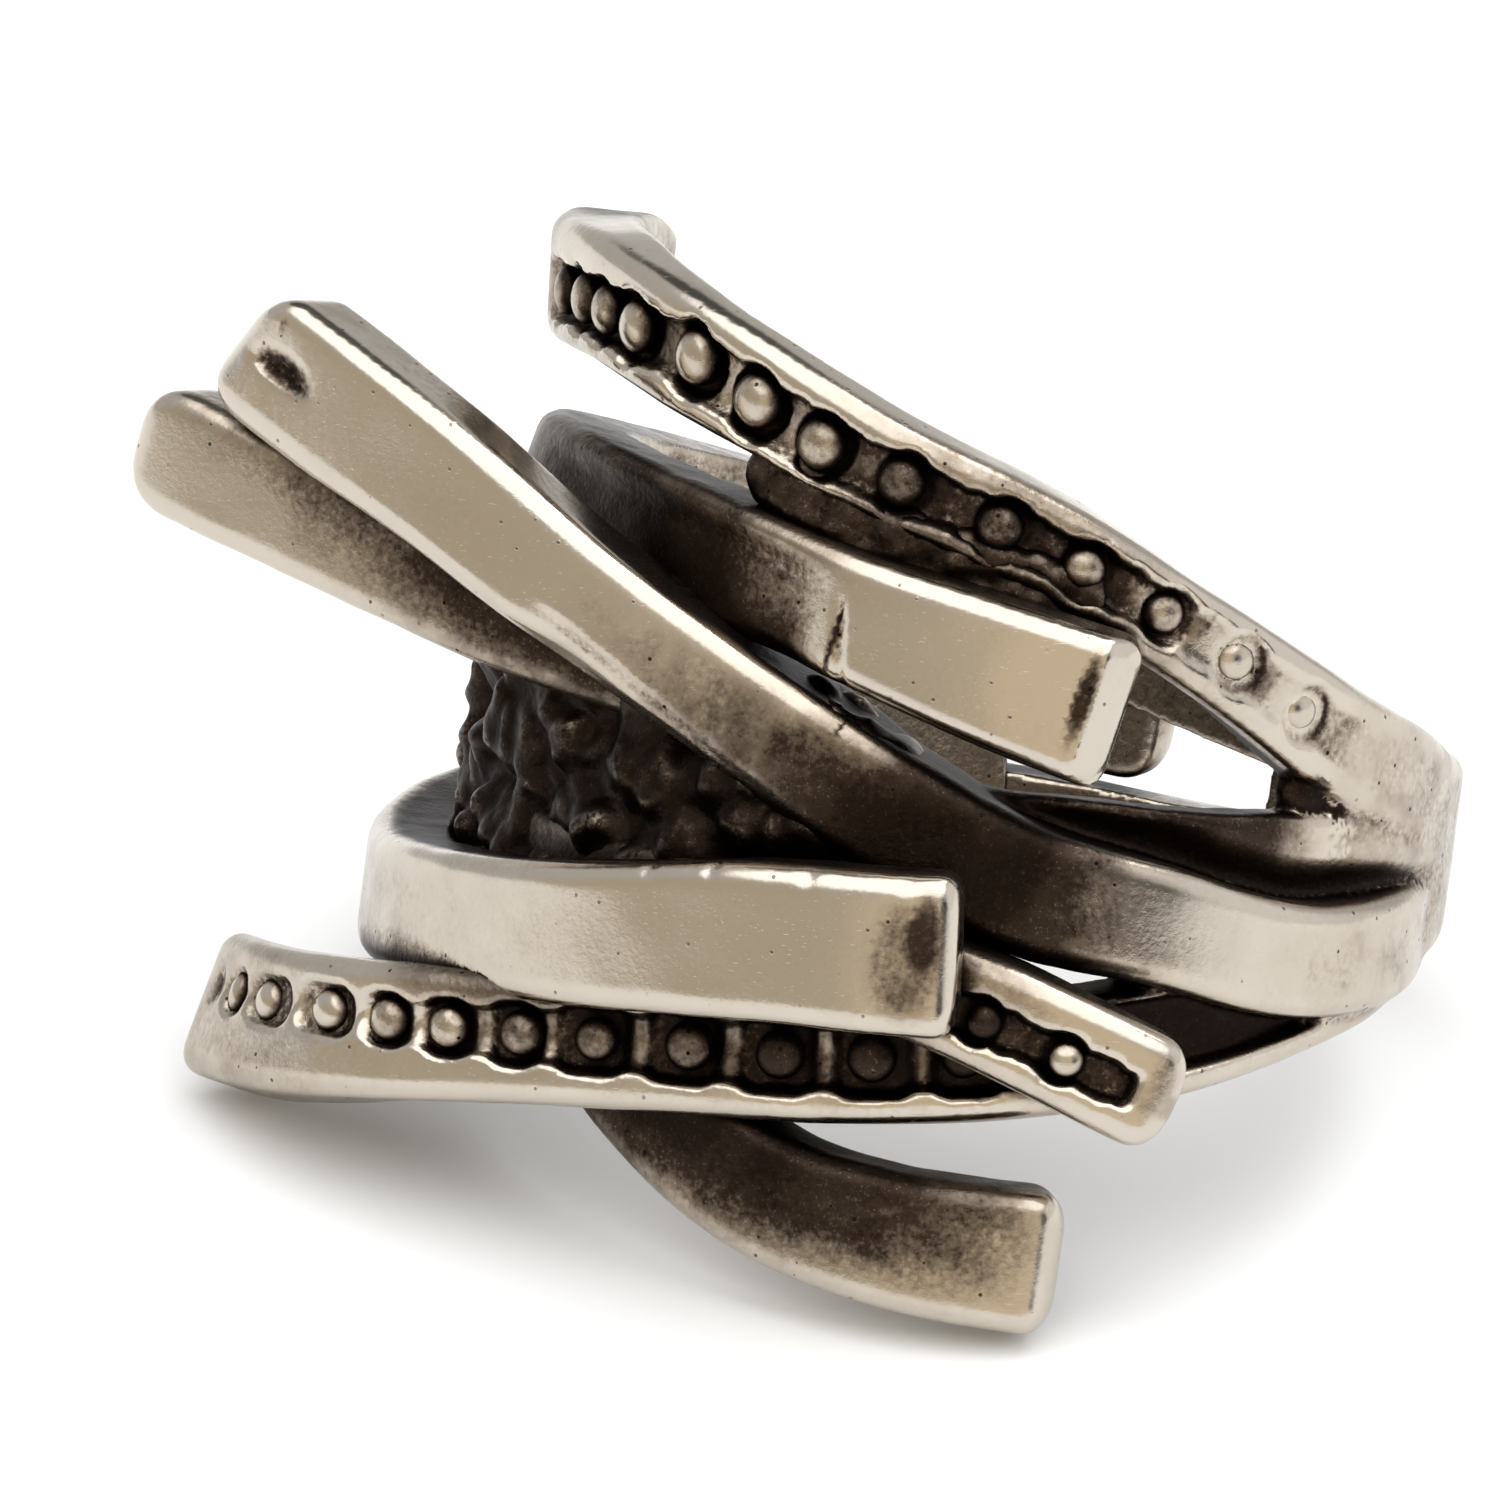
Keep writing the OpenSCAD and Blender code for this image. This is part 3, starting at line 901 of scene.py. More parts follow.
def core_ring():
    """The round finger wall with its notch, as a closed lathe."""
    around = np.radians(np.arange(0, 360, 0.75))
    from_notch = np.abs((np.degrees(around) - NOTCH_AT + 180) % 360 - 180)
    notch = smooth(from_notch, NOTCH_HALF + 1, NOTCH_HALF - 1)
    rings = []
    stains_and_shade = []
    for angle, cut in zip(around, notch):
        high = WALL_HIGH - NOTCH_DEEP * cut
        q = outline(high - WALL_LOW, WALL_THICK, 0.25, 0.35, across=26, side=5)
        up = q[:, 0] + (high + WALL_LOW) / 2
        groove = groove_above(math.degrees(angle), up)
        outer = smooth(q[:, 1], -WALL_THICK, -WALL_THICK / 2)
        out = BORE_R + WALL_THICK + q[:, 1] - GROOVE_DEEP * groove * outer
        rings.append(np.stack([out * math.cos(angle), -out * math.sin(angle), up], 1))
        hidden = HIDDEN_BLACK * smooth(math.degrees(angle), 44, 60) * smooth(math.degrees(angle), 320, 300)
        seen = smooth(q[:, 1], -WALL_THICK, -0.75 * WALL_THICK)
        stains_and_shade.append(INNER_BLACK + (np.maximum(GROOVE_BLACK * groove, hidden) - INNER_BLACK) * seen)
    faces = tube_faces(len(rings), len(rings[0]), closed=True)
    return np.concatenate(rings), faces, np.concatenate(stains_and_shade)


def web(around, up, out, size):
    """A rounded lump of metal between two bars: size is half its size round, up and outward, in mm."""
    turn = np.linspace(0, 2 * math.pi, 24, endpoint=False)
    tilt = np.radians(np.arange(-85, 90, 10))
    ball = np.stack([
        np.outer(np.cos(tilt), np.cos(turn)).ravel(),
        np.outer(np.cos(tilt), np.sin(turn)).ravel(),
        np.repeat(np.sin(tilt), len(turn)),
    ], 1)
    angle = math.radians(around)
    outward = np.array([math.cos(angle), -math.sin(angle), 0])
    along = np.array([-math.sin(angle), -math.cos(angle), 0])
    upward = np.array([0, 0, 1])
    middle = outward * out + upward * up
    points = middle + ball @ (np.stack([along, upward, outward]) * np.array(size)[:, None])
    return points, tube_faces(len(tilt), len(turn)), np.full(len(points), WEB_BLACK)


print("the finger wall is", round(WALL_HIGH - WALL_LOW, 1), "mm wide")

# %% [markdown]
# ## Meshes from a script
#
# A sweep gives bare points and faces. These helpers turn them into an object of the scene, read a mesh's
# points back, and store a number on each vertex under a name, which later steps and the metal read.

# %% Mesh helpers
def new_object(name, data):
    """An object in the scene for a mesh, a lamp or a lens."""
    thing = bpy.data.objects.new(name, data)
    bpy.context.scene.collection.objects.link(thing)
    return thing


def make_object(name, points, faces):
    """A new object from points in the ring's directions."""
    mesh = bpy.data.meshes.new(name)
    mesh.from_pydata(to_world(points), [], faces)
    mesh.validate()
    return new_object(name, mesh)


def plain_mesh(piece):
    """Replaces the object's mesh by what its modifiers make of it."""
    graph = bpy.context.evaluated_depsgraph_get()
    mesh = bpy.data.meshes.new_from_object(piece.evaluated_get(graph), depsgraph=graph)
    mesh.name = piece.name
    piece.modifiers.clear()
    piece.data = mesh
    return piece


def positions(mesh):
    """Every vertex's place, a row each."""
    co = np.empty(len(mesh.vertices) * 3, np.float32)
    mesh.vertices.foreach_get("co", co)
    return co.reshape(-1, 3)


def triangle_count(mesh):
    """How many triangles the mesh has once its faces are split."""
    return sum(len(face.vertices) - 2 for face in mesh.polygons)


def keep(mesh, label, values):
    """Stores a number or a direction for each vertex."""
    kind, field = ("FLOAT_VECTOR", "vector") if values.ndim == 2 else ("FLOAT", "value")
    attribute = mesh.attributes.new(label, kind, "POINT")
    attribute.data.foreach_set(field, values.astype(np.float32).ravel())


print("mesh helpers ready")

# %% [markdown]
# ## From a swept shape to a casting
#
# A voxel remesh joins overlapping shapes into one even skin of small quads. A few rounds of relaxing take
# the voxel steps away and leave small fillets where bars meet, as cast metal has.

# %% Cast
# Rounds of relaxing, how far each goes, and the most triangles that a piece may have
RELAX_ROUNDS = 4
RELAX = 0.5
MOST_TRIANGLES = 190_000


def join_shapes(shapes):
    """Several swept shapes as one set of points, faces, and stains with painted shade."""
    faces = []
    start = 0
    for points, shape_faces, _ in shapes:
        faces += [[i + start for i in face] for face in shape_faces]
        start += len(points)
    return np.concatenate([s[0] for s in shapes]), faces, np.concatenate([s[2] for s in shapes])


def keep_stain_and_shade(mesh, points, stains_and_shade):
    """Gives each vertex the stain and painted shade of the nearest point of the swept shape."""
    tree = kdtree.KDTree(len(points))
    for k, point in enumerate(to_world(points)):
        tree.insert(point, k)
    tree.balance()
    near = [tree.find(co)[1] for co in positions(mesh)]
    keep(mesh, "stain", stains_and_shade[near])


def cast(name, shapes, voxel):
    """One even skin round all the shapes, with quads of this size in mm."""
    points, faces, stains_and_shade = join_shapes(shapes)
    piece = make_object(name, points, faces)
    remesh = piece.modifiers.new("remesh", "REMESH")
    remesh.mode = "VOXEL"
    remesh.voxel_size = voxel * MM
    remesh.use_smooth_shade = True
    soften = piece.modifiers.new("soften", "SMOOTH")
    soften.factor = RELAX
    soften.iterations = RELAX_ROUNDS
    plain_mesh(piece)
    triangles = triangle_count(piece.data)
    if triangles > MOST_TRIANGLES:
        thin = piece.modifiers.new("thin", "DECIMATE")
        thin.ratio = MOST_TRIANGLES / triangles
        plain_mesh(piece)
    keep_stain_and_shade(piece.data, points, stains_and_shade)
    print(f"{name}: {triangles} triangles, kept {triangle_count(piece.data)}")
    return piece


print("the skins' quads are about 0.1 mm")

# %% [markdown]
# ## The hoop
#
# The finger wall, the shank and the three long bars that grow out of it were one piece of wax, so they are
# swept together and cast as one skin. A small web of metal closes the narrow end of the gap between the
# upper beaded bar and the shank.

# %% The hoop
hoop = cast("hoop", [
    core_ring(),
    sweep("shank", free_end=False, carve=shank_carve),
    sweep("upper_beaded_bar", carve=channel_carve("upper_beaded_bar")),
    sweep("main_bar", carve=main_bar_carve),
    sweep("lower_beaded_bar", carve=channel_carve("lower_beaded_bar")),
    web(around=49, up=1.6, out=9.6, size=[0.75, 0.6, 0.5]),
], voxel=0.09)

# %% [markdown]
# ## The other bars
#
# The bars that cross over the crown were laid onto the hoop, so their meetings are tight seams and not
# fillets. Each is a skin of its own that runs into the hoop.

# %% The other bars
bars = [hoop]
# The columns: name, carving, quads' size in mm
LAID_ON = [
    ["side_bar", None, 0.1],
    ["plate_bar", plate_carve, 0.08],
    ["wide_bar", wide_bar_carve, 0.1],
    ["short_beaded_bar", channel_carve("short_beaded_bar"), 0.08],
    ["lower_bar", end_bevel("lower_bar", long=0.5, deep=0.12), 0.1],
    ["far_bar", None, 0.1],
    ["flank", None, 0.1],
]
for name, carve, voxel in LAID_ON:
    bars.append(cast(name, [sweep(name, carve=carve)], voxel=voxel))
bars.append(cast("crown_core", [sweep("crown_core", free_start=True, clear=CORE_CLEAR)], voxel=0.12))
print("cast:", [piece.name for piece in bars])

# %% [markdown]
# ## Node trees from a script
#
# Several of the steps ahead are node trees. One small function adds a node with its settings and links, and
# another runs a tree on an object and keeps the result as a plain mesh. A node's values are given in the
# order of its inputs, or by name where the order isn't plain.

# %% Node helpers
MATH = "ShaderNodeMath"
VECTOR = "ShaderNodeVectorMath"
RANGE = "ShaderNodeMapRange"
NOISE = "ShaderNodeTexNoise"
EASE = {"interpolation_type": "SMOOTHSTEP"}


def add(tree, kind, *values, inputs=None, **settings):
    """Adds a node, sets its own settings, and sets or links its inputs. A node means its first output."""
    node = tree.nodes.new(kind)
    for key, value in settings.items():
        setattr(node, key, value)
    for key, value in [*enumerate(values), *(inputs or {}).items()]:
        if isinstance(value, bpy.types.Node):
            value = value.outputs[0]
        if isinstance(value, bpy.types.NodeSocket):
            tree.links.new(value, node.inputs[key])
        else:
            node.inputs[key].default_value = value
    return node


def new_tree(name, **sockets):
    """A geometry tree with these named inputs."""
    tree = bpy.data.node_groups.new(name, "GeometryNodeTree")
    tree.interface.new_socket("Geometry", in_out="INPUT", socket_type="NodeSocketGeometry")
    for label, kind in sockets.items():
        tree.interface.new_socket(label.replace("_", " "), in_out="INPUT", socket_type=kind)
    tree.interface.new_socket("Geometry", in_out="OUTPUT", socket_type="NodeSocketGeometry")
    return tree


def end_tree(tree, geometry, material):
    """Every tree ends alike: real meshes only, in the ring's metal."""
    real = add(tree, "GeometryNodeRealizeInstances", geometry)
    finish = add(tree, "GeometryNodeSetMaterial", inputs={"Geometry": real, "Material": material})
    add(tree, "NodeGroupOutput", finish)
    return tree


def run_tree(piece, tree, **values):
    """Runs a node tree on the object with these inputs, and keeps the result as its mesh."""
    modifier = piece.modifiers.new(tree.name, "NODES")
    modifier.node_group = tree
    for item in tree.interface.items_tree:
        label = item.name.replace(" ", "_")
        if item.item_type == "SOCKET" and item.in_out == "INPUT" and label in values:
            modifier[item.identifier] = values[label]
    return plain_mesh(piece)


print("node helpers ready")

# %% [markdown]
# ## The metal
#
# The real finish is silver plate over cast brass, blackened with a sulphide dip and then rubbed back by
# hand. Polished plate is a satin mirror: it takes its tone from the room, so its own colour is a plain warm
# grey. The black is a thin crust, duller and slightly rough. Between the two lies a brown haze where the
# polish only just reached, broken up by the metal's grain.
#
# The material reads four attributes that the steps store on the mesh: the stain and painted shade, what the
# tables say; recess, how deep a spot lies; edge, how sharply the skin bends outward, because edges and lumps
# are rubbed pale first; and side, the flanks of a bead. Noise in real sizes breaks the borders up.

# %% Colours of the finish
# Cast grain is about 0.05 mm and a polishing line 0.01 mm, which don't show in the picture, so both are
# drawn coarser: the grain in patches, its painted glints, the haze's clouds, and a line's length and width
GRAIN = 0.16 * MM
GLINT = 0.07 * MM
CLOUD = 1.1 * MM
LINE = [2.6 * MM, 0.05 * MM]
PIT_SPACING = 0.42 * MM
BUMP = 0.05 * MM
# From polished plate to the full black crust
PATINA = [
    [0.0, "#c1b8ab"],
    [0.16, "#b7ad9f"],
    [0.34, "#978b7d"],
    [0.52, "#6d6257"],
    [0.72, "#3b312a"],
    [0.9, "#241c17"],
    [1.0, "#1d1612"],
]


def srgb(code):
    """A hex colour as linear red, green and blue with alpha 1."""
    parts = [int(code[k:k + 2], 16) / 255 for k in (1, 3, 5)]
    return [c / 12.92 if c <= 0.04045 else ((c + 0.055) / 1.055) ** 2.4 for c in parts] + [1.0]


def fill_ramp(ramp, rows):
    """Puts rows of position and colour into a colour ramp."""
    elements = ramp.color_ramp.elements
    while len(elements) < len(rows):
        elements.new(0.5)
    for element, (position, code) in zip(elements, rows):
        element.position = position
        element.color = srgb(code)


print("the patina has", len(PATINA), "steps")

# %% [markdown]
# ## How black the metal is
#
# One number, the level, runs from 0 on clean plate to 1 on the crust, and colour, gloss and relief all
# follow it. It is built up as the finish was: dip, polish, and what the grain and the pits held back. The
# tables' painted shade and the painted glints also go into it.

# %% Level of black
# How a recess turns black, as a factor and a start, and how much a bead's side keeps
RECESS_GAIN = 2.3
RECESS_START = -0.42
SIDE_KEPT = 0.75
# What the wheel takes off an edge, what a painted glint takes off the crust, and what a pit adds
RUBBED_OFF = 0.4
PAINTED_GLINT = 0.16
PIT_ADDS = 0.45
# How far the grain and the clouds swing the level: at a border of the black, and anywhere
GRAIN_SWING = (2.6, 0.14)
CLOUD_SWING = (2.0, 0.2)


def black_level(tree, where, grain, cloud):
    """The level of black at each place, from the stored attributes, the grain and the pits."""
    recess, stained_or_shaded, side, edge = (
        add(tree, "ShaderNodeAttribute", attribute_name=name).outputs["Fac"]
        for name in ("recess", "stain", "side", "edge"))
    # The dip blackens deep spots, stained ones and a bead's sides, and the tables' painted shade darkens
    # alike
    deep = add(tree, MATH, recess, RECESS_GAIN, RECESS_START, operation="MULTIPLY_ADD", use_clamp=True)
    shallow = add(tree, MATH, 1.0, deep, operation="SUBTRACT")
    clean = add(tree, MATH, 1.0, stained_or_shaded, operation="SUBTRACT", use_clamp=True)
    top = add(tree, MATH, side, -SIDE_KEPT, 1.0, operation="MULTIPLY_ADD")
    pale = add(tree, MATH, shallow, clean, operation="MULTIPLY")
    pale = add(tree, MATH, pale, top, operation="MULTIPLY")
    level = add(tree, MATH, 1.0, pale, operation="SUBTRACT")
    # The wheel rubs the edges pale, but not down in the grain
    reached = add(tree, RANGE, grain, 0.36, 0.6, 0.0, -RUBBED_OFF, **EASE)
    rubbed = add(tree, MATH, edge, reached, operation="MULTIPLY")
    level = add(tree, MATH, level, rubbed, operation="ADD", use_clamp=True)
    # The border zone is the grainiest, clean plate hardly shows any
    rest = add(tree, MATH, 1.0, level, operation="SUBTRACT")
    border = add(tree, MATH, level, rest, operation="MULTIPLY")
    fourfold = add(tree, MATH, border, 4.0, operation="MULTIPLY")
    border = add(tree, MATH, border, fourfold, operation="MULTIPLY")
    for pattern, (at_border, anywhere) in ((grain, GRAIN_SWING), (cloud, CLOUD_SWING)):
        swing = add(tree, MATH, pattern, 0.5, operation="SUBTRACT")
        strength = add(tree, MATH, border, at_border, anywhere, operation="MULTIPLY_ADD")
        level = add(tree, MATH, swing, strength, level, operation="MULTIPLY_ADD")
    # Painted glints: single grains of the crust are painted paler, where light would catch them
    sparks = add(tree, NOISE, where, inputs={"Scale": 1 / GLINT, "Detail": 1.0, "Roughness": 0.6})
    sparks = add(tree, RANGE, sparks, 0.62, 0.74, 0.0, PAINTED_GLINT, **EASE)
    crust = add(tree, RANGE, level, 0.45, 0.8, **EASE)
    painted_glints = add(tree, MATH, sparks, crust, operation="MULTIPLY")
    level = add(tree, MATH, level, painted_glints, operation="SUBTRACT")
    # Casting pits: one small dot in each cell, kept in half of them
    cells = add(tree, "ShaderNodeTexVoronoi", where, inputs={"Scale": 1 / PIT_SPACING})
    dot = add(tree, RANGE, cells, 0.14, 0.08, **EASE)
    chance = add(tree, "ShaderNodeSeparateColor", cells.outputs["Color"])
    chosen = add(tree, RANGE, chance, 0.5, 0.7, **EASE)
    pit = add(tree, MATH, dot, chosen, operation="MULTIPLY")
    return add(tree, MATH, pit, PIT_ADDS, level, operation="MULTIPLY_ADD", use_clamp=True)


print("the level of black reads four attributes")

# %% [markdown]
# ## The metal's shader
#
# Plate and crust are one metal with another colour and another gloss, so one shader does for both. The
# crust has less sheen at a grazing look than polished plate has. Fine lines of the polishing and the grain
# are too shallow for geometry and are left to bump.

# %% Silver-plated brass, antiqued
# Roughness of clean plate, what the clouds and the crust add to it, and the sheen that the crust loses
SATIN = 0.14
CLOUD_ROUGH = 0.08
CRUST_ROUGH = 0.24
SHEEN_LOST = 0.3
# Relief of the grain on clean plate, what the crust adds to it, a line's depth, and the bump's strength
PLATE_RELIEF = 0.08
CRUST_RELIEF = 0.6
LINE_DEEP = 0.05
BUMP_STRENGTH = 0.6


def plated_brass():
    """The one material of the ring."""
    material = bpy.data.materials.new("silver_plated_brass_antiqued")
    material.use_nodes = True
    tree = material.node_tree
    tree.nodes.clear()
    where = add(tree, "ShaderNodeTexCoord").outputs["Object"]
    grain, cloud = (
        add(tree, NOISE, where, inputs={"Scale": 1 / size, "Detail": 3.0, "Roughness": 0.6})
        for size in (GRAIN, CLOUD))
    level = black_level(tree, where, grain, cloud)
    colour = add(tree, "ShaderNodeValToRGB", level)
    fill_ramp(colour, PATINA)
    satin = add(tree, MATH, cloud, CLOUD_ROUGH, SATIN, operation="MULTIPLY_ADD")
    rough = add(tree, MATH, level, CRUST_ROUGH, satin, operation="MULTIPLY_ADD")
    sheen = add(tree, MATH, level, -SHEEN_LOST, 1.0, operation="MULTIPLY_ADD")
    along, across = (1 / size for size in LINE)
    stretched = add(tree, "ShaderNodeMapping", where, inputs={
        "Rotation": (0.2, 0.6, 0.4), "Scale": (along, across, across)})
    lines = add(tree, NOISE, stretched, inputs={"Scale": 1.0, "Detail": 1.0})
    lines = add(tree, RANGE, lines, 0.66, 0.8, **EASE)
    lines = add(tree, MATH, lines, -LINE_DEEP, operation="MULTIPLY")
    relief = add(tree, MATH, level, CRUST_RELIEF, PLATE_RELIEF, operation="MULTIPLY_ADD")
    height = add(tree, MATH, grain, relief, lines, operation="MULTIPLY_ADD")
    bump = add(tree, "ShaderNodeBump", inputs={
        "Height": height, "Strength": BUMP_STRENGTH, "Distance": BUMP})
    shader = add(tree, "ShaderNodeBsdfPrincipled", inputs={
        "Base Color": colour, "Metallic": 1.0, "Roughness": rough, "Specular Tint": sheen, "Normal": bump})
    add(tree, "ShaderNodeOutputMaterial", shader)
    return material


metal = plated_brass()
print(metal.name, "has", len(metal.node_tree.nodes), "nodes")

# %% [markdown]
# ## The hand's unevenness
#
# Wax, casting and file leave no face quite flat. A node tree moves every vertex along its normal: low wide
# waves everywhere, and pebbles and crinkles where the tables put black, because nobody smoothed metal left
# black; where the tables put painted shade, the skin is roughened alike. The pebbles come from rounded
# Voronoi cells, which have soft tops and sharp valleys between them.

# %% The unevenness tree
def uneven_tree(material):
    """Moves vertices along their normals by a wave, pebbles and crinkles."""
    tree = new_tree("uneven", Wave="NodeSocketFloat", Wave_height="NodeSocketFloat",
                    Pebble="NodeSocketFloat", Pebble_height="NodeSocketFloat",
                    Crinkle="NodeSocketFloat", Crinkle_height="NodeSocketFloat")
    inside = add(tree, "NodeGroupInput").outputs
    position = add(tree, "GeometryNodeInputPosition")
    normal = add(tree, "GeometryNodeInputNormal")
    stained_or_shaded = add(tree, "GeometryNodeInputNamedAttribute", "stain", data_type="FLOAT")
    # Metal that kept its black was left rough, and painted shade in the same attribute is roughened alike
    rough = add(tree, RANGE, stained_or_shaded, 0.45, 0.85, **EASE)
    # Places are bent a little, so that the pebbles don't lie in rows
    scale = add(tree, MATH, 0.6, inside["Pebble"], operation="DIVIDE")
    far = add(tree, MATH, inside["Pebble"], 1.2, operation="MULTIPLY")
    bend = add(tree, NOISE, position, inputs={"Scale": scale, "Detail": 2.0}).outputs["Color"]
    bend = add(tree, VECTOR, bend, operation="SCALE", inputs={"Scale": far})
    bent = add(tree, VECTOR, position, bend, operation="ADD")
    scale = add(tree, MATH, 1.0, inside["Pebble"], operation="DIVIDE")
    cells = add(tree, "ShaderNodeTexVoronoi", bent, feature="SMOOTH_F1", inputs={
        "Scale": scale, "Smoothness": 0.8})
    # A pebble falls off with the square of the way from its middle
    squared = add(tree, MATH, cells, cells, operation="MULTIPLY")
    pebble = add(tree, MATH, squared, -1.6, 0.35, operation="MULTIPLY_ADD")
    pebble = add(tree, MATH, pebble, inside["Pebble height"], operation="MULTIPLY")
    waves = {}
    for label, detail in (("Wave", 1.0), ("Crinkle", 3.0)):
        scale = add(tree, MATH, 1.0, inside[label], operation="DIVIDE")
        swing = add(tree, NOISE, position, inputs={"Scale": scale, "Detail": detail})
        swing = add(tree, MATH, swing, 0.5, operation="SUBTRACT")
        waves[label] = add(tree, MATH, swing, inside[f"{label} height"], operation="MULTIPLY")
    left_rough = add(tree, MATH, pebble, waves["Crinkle"], operation="ADD")
    total = add(tree, MATH, left_rough, rough, waves["Wave"], operation="MULTIPLY_ADD")
    offset = add(tree, VECTOR, normal, operation="SCALE", inputs={"Scale": total})
    moved = add(tree, "GeometryNodeSetPosition", inputs={"Geometry": inside["Geometry"], "Offset": offset})
    return end_tree(tree, moved, material)


uneven = uneven_tree(metal)
WAVE = 2.6
# The columns, all in mm: wave height, pebble size and height, crinkle size and height
ROUGH = {"crown_core": [0.3, 1.2, 1.0, 0.4, 0.1], "flank": [0.15, 0.8, 0.3, 0.3, 0.12]}
SMOOTH_BARS = [0.08, 1.2, 0.05, 0.4, 0.01]
for piece in bars:
    wave_height, pebble, pebble_height, crinkle, crinkle_height = ROUGH.get(piece.name, SMOOTH_BARS)
    run_tree(piece, uneven, Wave=WAVE * MM, Wave_height=wave_height * MM, Pebble=pebble * MM,
             Pebble_height=pebble_height * MM, Crinkle=crinkle * MM, Crinkle_height=crinkle_height * MM)
print("uneven:", [piece.name for piece in bars])

# %% [markdown]
# ## Beads
#
# Each bead is a low dome in its pocket, hardly proud of the bar. Its top is rubbed and its sides keep their
# black. Points along the channel carry which way is out and how big the bead is, and a node tree sets a
# flattened ball on every point.

# %% The bead tree
FLAT = 0.72
BEAD_SIDES = 28


def bead_tree(material):
    """Sets a ball on each point, turned outward, as big as the point says."""
    tree = new_tree("beads", Segments="NodeSocketInt")
    inside = add(tree, "NodeGroupInput").outputs
    outward, along, size = (
        add(tree, "GeometryNodeInputNamedAttribute", name, data_type="FLOAT_VECTOR")
        for name in ("outward", "along", "size"))
    rings = add(tree, MATH, inside["Segments"], 0.6, operation="MULTIPLY")
    ball = add(tree, "GeometryNodeMeshUVSphere", inputs={
        "Segments": inside["Segments"], "Rings": rings, "Radius": 1.0})
    # The sides of a ball keep their black, only its top is rubbed
    on_ball = add(tree, "GeometryNodeInputPosition")
    up = add(tree, "ShaderNodeSeparateXYZ", on_ball).outputs["Z"]
    side = add(tree, RANGE, up, 0.88, 0.35, **EASE)
    ball = add(tree, "GeometryNodeStoreNamedAttribute", data_type="FLOAT", domain="POINT", inputs={
        "Geometry": ball, "Name": "side", "Value": side})
    turn = add(tree, "FunctionNodeAxesToRotation", outward, along, primary_axis="Z", secondary_axis="X")
    spots = add(tree, "GeometryNodeMeshToPoints", inside["Geometry"])
    placed = add(tree, "GeometryNodeInstanceOnPoints", inputs={
        "Points": spots, "Instance": ball, "Rotation": turn, "Scale": size})
    smoothed = add(tree, "GeometryNodeSetShadeSmooth", placed)
    return end_tree(tree, smoothed, material)


balls = bead_tree(metal)
print("the bead tree sets balls with", FLAT, "of a ball's height")

# %% [markdown]
# ## Setting the beads
#
# Caviar beads are soldered in a row and never quite alike. Each has its own place, width and share of black
# in the table, and its top stands level with the bar's face, where the polishing wheel met both.

# %% Setting the beads
def set_beads(name, rows):
    """One joined mesh of a bar's beads, each sunk until its top is level with the bar's outer face."""
    path = paths[name]
    around, half_across, half_along, black = np.array(rows, float).T
    rise = FLAT * np.minimum(half_across, half_along)
    s = path.s(path.mm(around))
    across, outward, along = directions(path.rows, s)
    off = column(TRENCH[name], around, 1)
    points = place(row_at(path.rows, s)) + across * off[:, None] - outward * rise[:, None]
    piece = make_object(f"{name}_beads", points, [])
    keep(piece.data, "outward", outward @ lean.T)
    keep(piece.data, "along", along @ lean.T)
    keep(piece.data, "size", np.stack([half_along, half_across, rise], 1) * MM)
    keep(piece.data, "stain", black)
    print(f"{piece.name}: {len(points)} set")
    return run_tree(piece, balls, Segments=BEAD_SIDES)


bead_rows = [set_beads(name, rows) for name, rows in BEADS.items()]

# %% [markdown]
# ## How deep each spot lies, and how sharp
#
# The black finish stays where a polishing wheel can't reach. A node tree casts rays from every vertex out to
# the sky and counts how many meet the ring within a few mm. The same tree compares each vertex with the
# average place of its neighbours: where it stands out, an edge or a lump was rubbed pale.

# %% The depth tree
EDGE_BLUR = 6
EDGE_FULL = 0.06 * MM
REACH = 3.0 * MM
RAY_CLEAR = 0.04 * MM
# How far a ray may lean off the normal: just under 1 keeps every ray outside the skin
RAY_LEAN = 0.97


